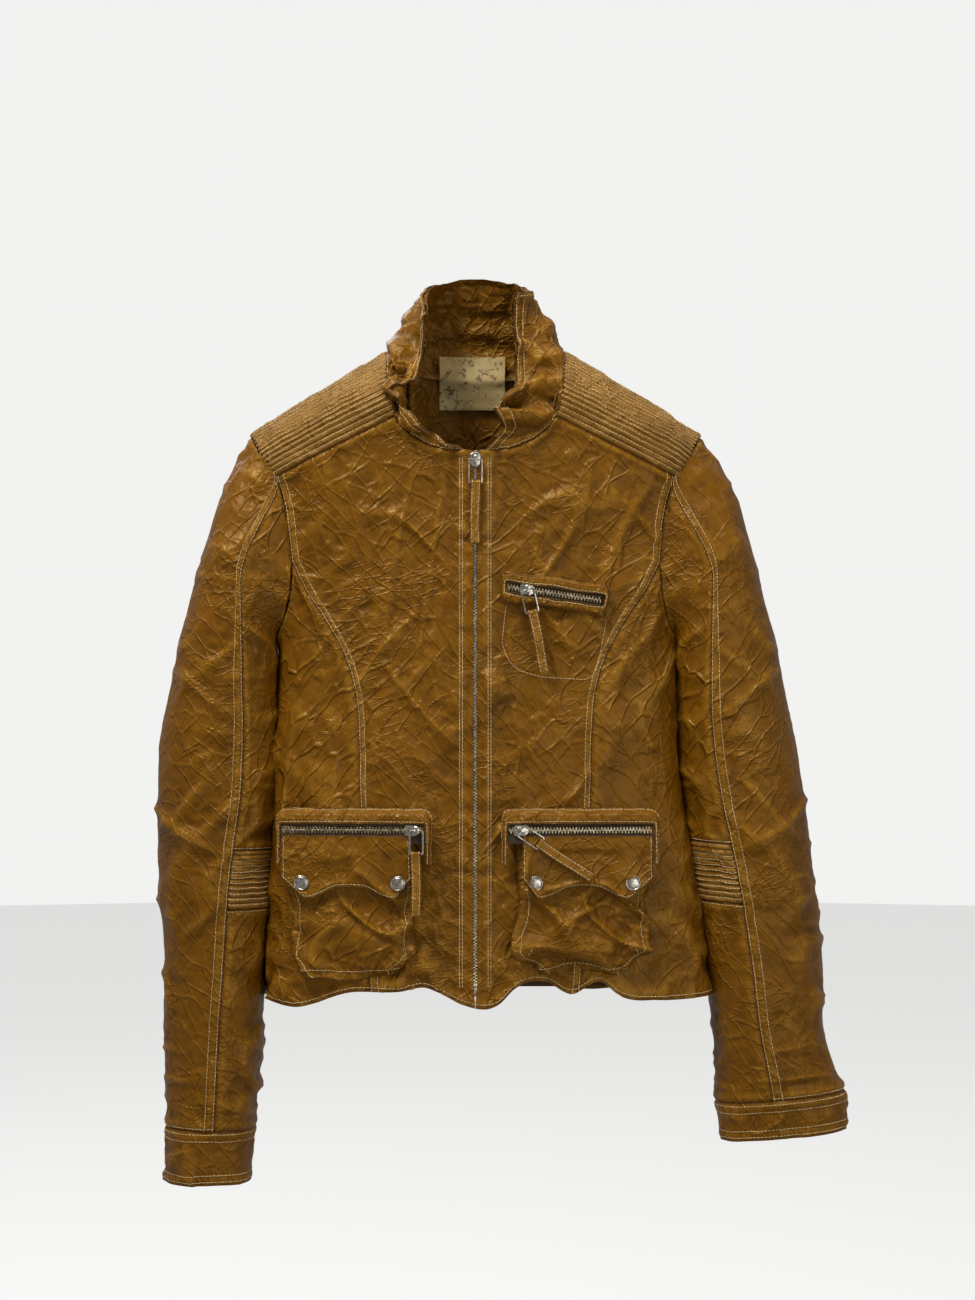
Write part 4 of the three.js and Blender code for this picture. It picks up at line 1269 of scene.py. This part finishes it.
panels["body_lining"] = makePanel(
    "body_lining", liningPlace, (780, 282), inside, bodyName,
    {"folds": lambda p, u, v: 1.6 * warped(p, 45, 5, (1, 1, 3)) - 1.6, "mesh": (5, 5), "thickness": 0.5},
)
report("collar and inside")


# Zips: a frame of their own, x along the teeth, y across them, z out of the jacket.
class Axes:
    def __init__(self, origin, along, out):
        self.origin = np.array(origin, float)
        self.z = unit(np.array(out, float))
        self.x = unit(np.array(along, float) - np.dot(along, self.z) * self.z)
        self.y = np.cross(self.z, self.x)

    def at(self, p):
        p = np.asarray(p, float)
        return self.origin + p[..., :1] * self.x + p[..., 1:2] * self.y + p[..., 2:] * self.z

    def matrix(self):
        m = Matrix.Identity(4)
        for row in range(3):
            m[row][0], m[row][1], m[row][2] = self.x[row], self.y[row], self.z[row]
            m[row][3] = self.origin[row] * mm
        return m


def pocketAxes(side, out, drop, stand, half, middle, tilt):
    origin = onBodyAt(np.float64(out), np.float64(-drop), side, True) * np.array([side, 1, 1])
    near, far = [onBodyAt(np.float64(out + s), np.float64(-middle), side, True) for s in (-half, half)]
    turn = math.atan2(far[1] - near[1], far[0] - near[0])
    facing = np.array([side * math.sin(turn), -math.cos(turn), body["frontLean"]])
    along = np.array([math.cos(math.radians(tilt)), 0, math.sin(math.radians(tilt))])
    return Axes(origin + facing * stand, along, facing)


top, foot = [onBodyAt(np.float64(0), np.float64(z), 1, True) for z in (-80, hemZ)]
alongZip = unit(foot - top)
outZip = np.cross(alongZip, (1, 0, 0))
outZip = outZip if outZip[1] < 0 else -outZip
frontAxes = Axes(top - outZip * (1.5 + 0.35 + 0.3), alongZip, outZip)
pocket = {
    "out": {1: 88, -1: 101}, "drop": 391, "stand": 8.8, "zipOuter": 57, "zipInner": 62, "rise": 18, "leg": 24,
    "sideBand": 4, "flapOuter": 57, "flapInner": 50.5, "fold": 28.3, "tip": 57, "arch": 47, "pouchHalf": 54,
    "pouchBottom": 119, "corner": 17, "snapOut": 40, "snapDrop": 43,
}
chest = {"out": 65, "drop": 198, "stand": 3.2, "half": 44, "tilt": -8}


def patchAxes(side):
    middle = pocket["drop"] + pocket["pouchBottom"] / 2
    return pocketAxes(
        side, pocket["out"][side], pocket["drop"], pocket["stand"], pocket["pouchHalf"], middle, 0
    )


chestAxes = pocketAxes(
    1, chest["out"], chest["drop"], chest["stand"], chest["half"], chest["drop"], chest["tilt"]
)
# Axes, the slider's place, how its pull hangs in degrees, room under its crown, how far ahead it pivots.
zips = {
    "front_zip": (frontAxes, 8, 0, 0.85, 0),
    "left_pocket": (patchAxes(1), -51.7, -34, 0, 0),
    "right_pocket": (patchAxes(-1), 51.7, -90, 0, 4),
    "chest_pocket": (chestAxes, -23, -70, 0, 0),
}


def finishMetal(obj, name, material, body, matrix):
    obj.name = obj.data.name = name
    obj.data.materials.clear()
    obj.data.materials.append(material)
    obj.data.transform(matrix)
    obj.data.update()
    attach(obj, body)
    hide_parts(name)
    return obj


teeth = {"pitch": 2.6, "long": 1.35, "reach": 3.4, "thick": 2.1}


def toothRow(count, start, sides):
    clearSelection()
    made = []
    for across in sides:
        bpy.ops.mesh.primitive_cube_add(size=1)
        tooth = bpy.context.object
        tooth.scale = (teeth["long"] * mm, teeth["reach"] * mm, teeth["thick"] * mm)
        shift = start + (teeth["pitch"] / 2 if across < 0 else 0)
        tooth.location = (shift * mm, across * (teeth["reach"] / 2 - 0.75) * mm, 0)
        bpy.ops.object.transform_apply(location=True, rotation=False, scale=True)
        apply(tooth, "BEVEL", width=0.28 * mm, segments=1)
        apply(
            tooth, "ARRAY", count=count, use_relative_offset=False, use_constant_offset=True,
            constant_offset_displace=(teeth["pitch"] * mm, 0, 0),
        )
        made.append(tooth)
    clearSelection()
    for tooth in made:
        tooth.select_set(True)
    bpy.context.view_layer.objects.active = made[0]
    if len(made) > 1:
        bpy.ops.object.join()
    return bpy.context.object


def cadCopy(node, bevel, material, body, back=None):
    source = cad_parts[node]
    only(source)
    bpy.ops.object.duplicate()
    obj = bpy.context.object
    obj.parent = None
    obj.matrix_world = Matrix.Identity(4)
    obj.data = obj.data.copy()
    obj.name = obj.data.name = node + "_shown"
    bpy.ops.object.mode_set(mode="EDIT")
    bpy.ops.mesh.select_all(action="SELECT")
    bpy.ops.mesh.remove_doubles(threshold=0.00002)
    bpy.ops.mesh.dissolve_limited(angle_limit=math.radians(3))
    bpy.ops.mesh.select_all(action="SELECT")
    bpy.ops.mesh.normals_make_consistent(inside=False)
    bpy.ops.object.mode_set(mode="OBJECT")
    apply(obj, "BEVEL", width=bevel * mm, segments=2, limit_method="ANGLE", angle_limit=math.radians(30))
    bpy.ops.object.shade_smooth_by_angle(angle=math.radians(40))
    if back is not None:
        obj.data.transform(Matrix.Translation(Vector(back * mm)))
    obj.data.materials.clear()
    obj.data.materials.append(material)
    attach(obj, body)
    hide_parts(node)
    return obj


zipTeeth = {
    "front_zip": {"left_front_zip_teeth": (168, 1, (1,)), "right_front_zip_teeth": (168, 1, (-1,))},
    "left_pocket": {"left_pocket_zip_teeth": (45, -61, (1, -1))},
    "right_pocket": {"right_pocket_zip_teeth": (45, -56, (1, -1))},
    "chest_pocket": {"chest_pocket_zip_teeth": (30, -39, (1, -1))},
}
for zipName, rows in zipTeeth.items():
    for node, (count, start, sides) in rows.items():
        row = toothRow(count, start, sides)
        finishMetal(row, node, brass, bodyName, zips[zipName][0].matrix())
    cadCopy(zipName + "_slider", 0.25, nickel, zipName + "_slider_body")
    cadCopy(zipName + "_bail", 0.35, nickel, zipName + "_pull")
cadCopy("front_zip_box", 0.4, brass, bodyName)
report("zips")


# Leather pull tabs: a strip folded round the bail and sewn.
tab = {"width": 8.5, "length": 52, "eye": 1.9, "fold": 2.4, "start": 19}


def pullAxes(zipName):
    axes, at, hang, room, ahead = zips[zipName]
    inner = 1 + 0.35
    pivot = inner + room + 1 + 1.05 + 0.35 + 0.2
    turn = math.radians(hang)
    along = axes.x * math.cos(turn) + axes.y * math.sin(turn)
    return Axes(axes.at(np.array([at + ahead, 0, pivot])), along, axes.z)


def tabPlace(axes, seed):
    length, eye = tab["length"], tab["eye"]

    def place(u, v):
        # Down the front from the fold, then round the bail and down the back.
        run = 2 * length * u - length
        down = np.maximum(np.abs(run) - tab["fold"], 0)
        wrap = np.clip(run / tab["fold"], -1, 1) * math.pi / 2
        gap = 0.62 + (eye - 0.62) * np.exp(-down / 4.5)
        x = tab["start"] + down - eye * np.cos(wrap)
        z = -gap * np.sin(wrap)
        narrow = 1 - 0.06 * np.abs(run) / length
        y = (0.5 - v) * tab["width"] * narrow + 0.5 * np.sin(x / 11 + seed)
        z = z + (0.9 + 0.7 * np.sin(x / 13 + seed)) * smooth(x, 22, 40)
        return axes.at(np.stack([x, y, z], axis=-1))

    return place


def makeTab(zipName, seed):
    name = zipName + "_tab"
    panel = makePanel(
        name, tabPlace(pullAxes(zipName), seed), (104, tab["width"]), tabLeather, zipName + "_pull",
        {
            "mesh": (1.1, 0.9), "thickness": 0.55, "hems": ("bottom", "top"), "pucker": 0.1, "swell": 0.15,
            "folds": lambda p, u, v: 0.22 * creases(p, 7, 3) + 0.2 * warped(p, 10, 4),
            "rows": {"bottom": (1.3,), "top": (1.3,)},
        },
    )
    return panel


for seed, zipName in enumerate(zips):
    panels[zipName + "_tab"] = makeTab(zipName, seed * 1.7)
report("tabs")


# Pockets.
def outline(points, closed=False):
    pts = np.array(points, float)
    if closed:
        pts = np.concatenate([pts, pts[:1]])
    run = np.concatenate([[0], np.cumsum(np.linalg.norm(np.diff(pts, axis=0), axis=-1))])
    run /= run[-1]
    return lambda t: np.stack([np.interp(t, run, pts[:, k]) for k in range(pts.shape[1])], axis=-1)


def rounded(points, radius):
    made = []
    for k, p in enumerate(points):
        p = np.array(p, float)
        if k in (0, len(points) - 1):
            made.append(p)
            continue
        a, b = np.array(points[k - 1], float), np.array(points[k + 1], float)
        start, end = p + unit(a - p) * radius, p + unit(b - p) * radius
        for t in np.linspace(0, 1, 6):
            made.append((1 - t) ** 2 * start + 2 * t * (1 - t) * p + t * t * end)
    return made


def pocketFolds(p, u, v):
    big = 4.6 * drags(p, 27, 6, 62, 2.4, 1.5) + 4.4 * drags(p, 25, 1, -50, 2.2, 1.5) + 2.6 * warped(p, 24, 2)
    return big + 1.3 * drags(p, 11, 4, 20, 3.0) + 1.1 * drags(p, 9, 8, -75, 3.0) - 3.0


def patchPocket(side):
    name = ("left" if side > 0 else "right") + "_pocket"
    axes = zips[name][0]
    flip = lambda u: u if side > 0 else 1 - u
    stand = pocket["stand"]

    def pouchPlace(u, v):
        a = 2 * u - 1
        low = 1 - v
        half = pocket["pouchHalf"] - pocket["corner"] * smooth(low, 0.82, 1.0)
        half = half + 1.5 * np.sin(low * 9 + side)
        bottom = pocket["pouchBottom"] - 4 * bump(a, 0.5) * side
        y = -6 - (bottom - 6) * low
        edge = np.maximum(np.abs(a) ** 7, smooth(low, 0.9, 1.0) ** 1.5)
        full = -2.1 + 1.6 * smooth(low, 0.35, 0.6) * (1 - a**2)
        z = full * (1 - edge) + (-stand + 0.9) * edge
        return axes.at(np.stack([a * half, y, z], axis=-1))

    panels[name + "_pouch"] = makePanel(
        name + "_pouch", pouchPlace, (116, 120), leather, bodyName,
        {
            "folds": lambda p, u, v: pocketFolds(p, u, v) * (0.25 + 1.1 * smooth(1 - v, 0.3, 0.5)),
            "hems": ("left", "right", "bottom"), "mesh": (1.7, 1.7), "pucker": 0.7,
            "rows": {"left": (8.5,), "right": (8.5,), "bottom": (7.0,)},
        },
    )

    inner, outer = pocket["flapInner"], pocket["flapOuter"]
    tip, arch, out = pocket["tip"], pocket["arch"], pocket["snapOut"]
    lower = [
        (-inner, -(tip - 18)), (-out + 3, -tip), (-out + 13, -(tip - 3)), (-13, -arch), (0, -arch + 1),
        (13, -arch), (out - 13, -(tip - 3)), (out - 3, -tip), (outer, -(tip - 18)),
    ]
    lower = np.array(rounded(lower, 4.5))

    def flapPlace(u, v):
        w = flip(u)
        x = -inner + (outer + inner) * w
        bottom = np.interp(x, lower[:, 0], lower[:, 1])
        y = bottom + (-4.9 - bottom) * v
        z = 0.9 - 0.5 * bump(1 - v, 0.12) + 0.5 * np.sin(x / 15) * (1 - v)
        return axes.at(np.stack([side * x, y, z], axis=-1))

    def snapDimple(p, u, v, far):
        made = 0
        for outwards in (-1, 1):
            centre = axes.at(np.array([side * outwards * out, -pocket["snapDrop"], 0.9]))
            apart = np.linalg.norm(p - centre, axis=-1)
            made = made - 0.5 * bump(apart, 7.5)
        return made

    def flapFolds(p, u, v):
        made = (0.85 * pocketFolds(p, u, v) + 1.6) * smooth(1 - v, 0.0, 0.4)
        return np.maximum(made, -0.1 - 1.6 * smooth(1 - v, 0.2, 0.35))

    edge = pocket["fold"]
    bendFrom, bendTo = [tuple(axes.at(np.array([0, -y, 0.9])) * mm) for y in (edge - 3, edge + 3)]
    flapBody = ("left" if side > 0 else "right") + "_flap_body"
    panels[name + "_flap"] = makePanel(
        name + "_flap", flapPlace, (108, 47), leather, (bodyName, flapBody, bendFrom, bendTo),
        {
            "folds": flapFolds,
            "hems": ("left", "right", "bottom"), "mesh": (1.4, 1.2), "pucker": 0.3, "swell": 0.35,
            "detail": snapDimple, "rows": {"bottom": (2.2,), "left": (2.2,), "right": (2.2,)},
            "replaces": [name + "_flap", name + "_flap_base"],
        },
    )

    zi, zo = pocket["zipInner"] + 0.6, pocket["zipOuter"] + 0.6
    fi, fo = zi + pocket["sideBand"], zo + pocket["sideBand"]
    leg, rise, band = pocket["leg"], pocket["rise"], 5.3
    inside = outline(rounded([(-zi, -leg - 3), (-zi, band), (zo, band), (zo, -leg - 3)], 2))
    outside = outline(rounded([(-fi, -leg - 4), (-fi - 1, rise), (fo + 1, rise), (fo, -leg - 4)], 9))

    def framePlace(u, v):
        w = flip(u)
        a, b = inside(w), outside(w)
        p = a * (1 - v[..., None]) + b * v[..., None]
        down = (-stand + 1.6 - 0.65) * smooth(v, 0.55, 1.0)
        return axes.at(np.stack([side * p[..., 0], p[..., 1], 1.6 + down], axis=-1))

    panels[name + "_frame"] = makePanel(
        name + "_frame", framePlace, (190, 13), leather, bodyName,
        {
            "folds": lambda p, u, v: 0.5 * warped(p, 14, 2) + 0.6 * creases(p, 9, 5), "mesh": (1.3, 0.8),
            "hems": ("bottom", "top"), "thickness": 0.8, "pucker": 0.35, "swell": 0.2,
            "rows": {"bottom": (2.0,), "top": (2.4,)},
        },
    )
    for where in ("inner", "outer"):
        snapCap(name + "_" + where + "_snap", axes, side * out * (1 if where == "outer" else -1), flapBody)
    cadCopy(name + "_zip_tape", 0.1, tape, bodyName)


snap = {"radius": 6.2, "dome": 5.3, "rim": 0.6, "rise": 1.35}


def snapCap(name, axes, x, body):
    clearSelection()
    bpy.ops.mesh.primitive_uv_sphere_add(segments=32, ring_count=16, radius=1)
    obj = bpy.context.object
    bpy.ops.object.mode_set(mode="EDIT")
    bpy.ops.mesh.select_all(action="SELECT")
    bpy.ops.mesh.bisect(plane_co=(0, 0, 0), plane_no=(0, 0, 1), clear_inner=True, use_fill=True)
    bpy.ops.object.mode_set(mode="OBJECT")
    obj.scale = (snap["dome"] * mm, snap["dome"] * mm, snap["rise"] * mm)
    bpy.ops.object.transform_apply(location=False, rotation=False, scale=True)
    bpy.ops.mesh.primitive_torus_add(
        major_radius=(snap["radius"] - snap["rim"]) * mm, minor_radius=snap["rim"] * mm, major_segments=40,
        minor_segments=10, location=(0, 0, 0.3 * mm),
    )
    obj.select_set(True)
    bpy.context.view_layer.objects.active = obj
    bpy.ops.object.join()
    bpy.ops.object.shade_smooth_by_angle(angle=math.radians(40))
    place = Axes(axes.at(np.array([x, -pocket["snapDrop"], 0.95])), axes.x, axes.z)
    finishMetal(obj, name, nickel, body, place.matrix())


def laidOn(panels, axes, points, reach=22):
    # Follows a drawn line over finished pieces, seen along the zip's own outward direction.
    trees = [BVHTree.FromPolygons(*meshData(panel.obj)) for panel in panels]
    curve = outline(points)
    length = np.linalg.norm(np.diff(np.array(points, float), axis=0), axis=-1).sum()
    made, normals = [], []
    for t in np.linspace(0, 1, max(3, int(length / 1.2))):
        x, y = curve(np.float64(t))[:2]
        start = axes.at(np.array([x, y, reach]))
        hits = [tree.ray_cast(Vector(start), Vector(-axes.z), 2 * reach) for tree in trees]
        hits = [hit for hit in hits if hit[0] is not None]
        if hits:
            best = min(hits, key=lambda hit: hit[3])
            made.append(np.array(best[0]))
            normals.append(np.array(best[1]) if np.dot(best[1], axes.z) > 0 else -np.array(best[1]))
    return np.array(made), np.array(normals)


def meshData(obj):
    graph = bpy.context.evaluated_depsgraph_get()
    mesh = obj.evaluated_get(graph).data
    return [tuple(v.co / mm) for v in mesh.vertices], [tuple(p.vertices) for p in mesh.polygons]


for side in (1, -1):
    patchPocket(side)
    pocketName = ("left" if side > 0 else "right") + "_pocket"
    pouch = panels[pocketName + "_pouch"]
    for out, down, turn in ((-44, 99, 60), (44, 99, 120), (-51, 46, 0), (51, 46, 180)):
        a = math.radians(turn)
        x, y = 4 * math.cos(a), 4 * math.sin(a)
        tick = [(out - x, -down - y), (out + x, -down + y)]
        pouch.threads.append(laidOn([pouch], zips[pocketName][0], tick))


def chestPocket():
    axes = zips["chest_pocket"][0]
    inner = [(-40.5, -4.5), (-40.5, 4.6), (40.5, 4.6), (40.5, -4.5)]
    outer = [(-45, -13.5), (-43, 13), (44, 13.2), (44, -14)]
    inside = outline(rounded([(0, -4.8), *inner, (0, -4.8)], 1.5))
    outside = outline(rounded([(0, -13), *outer, (0, -13)], 5))

    def place(u, v):
        a, b = inside(u), outside(u)
        p = a * (1 - v[..., None]) + b * v[..., None]
        z = 1.6 - 4.0 * smooth(v, 0.6, 1.0)
        p = p + 0.5 * np.sin(u[..., None] * np.array([37, 29.0]))
        return axes.at(np.stack([p[..., 0], p[..., 1], z], axis=-1))

    panels["chest_pocket_welt"] = makePanel(
        "chest_pocket_welt", place, (225, 9), leather, bodyName,
        {
            "folds": lambda p, u, v: 0.4 * warped(p, 12, 2) + 0.5 * creases(p, 8, 5), "mesh": (1.3, 0.8),
            "hems": ("bottom", "top"), "thickness": 0.8, "pucker": 0.3, "swell": 0.2,
            "rows": {"bottom": (1.6,)},
        },
    )
    cadCopy("chest_pocket_zip_tape", 0.1, tape, bodyName)


chestPocket()
bag = [(-38, -15), (-37, -46), (-31, -58), (-22, -66), (-2, -69), (36, -66), (42, -60), (44, -46), (45, -14)]
front = panels["left_front_panel"]
front.threads.append(laidOn([front], zips["chest_pocket"][0], rounded(bag, 4)))
for offset in (10.5, 12.8):
    for name in ("left", "right"):
        front = panels[name + "_front_panel"]
        drop = [(6, offset if name == "left" else -offset), (440, offset if name == "left" else -offset)]
        front.threads.append(laidOn([front], frontAxes, drop))
for name in ("left_front_zip_tape", "right_front_zip_tape"):
    cadCopy(name, 0.1, tape, bodyName, back=frontAxes.z * -1.3)
report("pockets")


# Camera, light and floor.
studio = {
    "floorSize": 14, "floorZ": -1.05, "floorGlow": 0.6, "domeRadius": 6.5, "domeGlow": 0.88, "world": 0.31,
    "aim": (0, 0, -0.25), "camera": (0.01, -2.25, -0.244), "focus": 2.2, "seen": 1.066,
    "lamps": [
        ("key", (-0.95, -1.05, 1.75), 0.7, 52),
        ("fill", (1.3, -2.0, -0.3), 1.6, 15),
        ("top", (0.2, -0.6, 1.9), 1.0, 12),
        ("soft top", (0, -0.3, 2.4), 2.5, 20),
        ("behind", (-0.9, 2.0, 1.3), 1.2, 13),
    ],
}


def stageScene():
    clearSelection()
    bpy.ops.mesh.primitive_plane_add(size=studio["floorSize"], location=(0, 0, studio["floorZ"]))
    floor = bpy.context.object
    floor.name = "floor"
    bpy.ops.mesh.primitive_uv_sphere_add(segments=48, ring_count=24, radius=studio["domeRadius"])
    dome = bpy.context.object
    dome.name = "backdrop"
    dome.visible_shadow = dome.visible_diffuse = dome.visible_glossy = False
    floor.visible_diffuse = floor.visible_glossy = False
    for obj, glow in ((floor, studio["floorGlow"]), (dome, studio["domeGlow"])):
        material = bpy.data.materials.new("pale paper")
        material.use_nodes = True
        shader = material.node_tree.nodes["Principled BSDF"]
        shader.inputs["Base Color"].default_value = (0.34, 0.34, 0.335, 1) if obj is floor else (0, 0, 0, 1)
        shader.inputs["Roughness"].default_value = 0.9
        shader.inputs["Emission Color"].default_value = (1, 1, 0.99, 1)
        shader.inputs["Emission Strength"].default_value = glow
        obj.data.materials.append(material)
    for name, place, size, power in studio["lamps"]:
        bpy.ops.object.light_add(type="AREA", location=place)
        lamp = bpy.context.object
        lamp.name = name
        lamp.data.size = size
        lamp.data.energy = power
        aim = Vector(studio["aim"]) - Vector(place)
        lamp.rotation_euler = aim.to_track_quat("-Z", "Y").to_euler()
    world = bpy.data.worlds.new("studio")
    bpy.context.scene.world = world
    world.use_nodes = True
    world.node_tree.nodes["Background"].inputs["Color"].default_value = (1, 1, 1, 1)
    world.node_tree.nodes["Background"].inputs["Strength"].default_value = studio["world"]
    bpy.ops.object.camera_add(location=studio["camera"], rotation=(math.pi / 2, 0, 0))
    camera = bpy.context.object
    camera.data.sensor_fit = "VERTICAL"
    camera.data.sensor_height = 24
    camera.data.lens = camera.data.sensor_height * studio["focus"] / studio["seen"]
    bpy.context.scene.camera = camera
    bpy.context.scene.view_settings.view_transform = "Standard"


stageScene()

for panel in panels.values():
    declareSheet(panel)
    if panel.threads:
        sew(panel.name + "_stitches", panel.threads, panel.body, threadCloth)
report("threads")
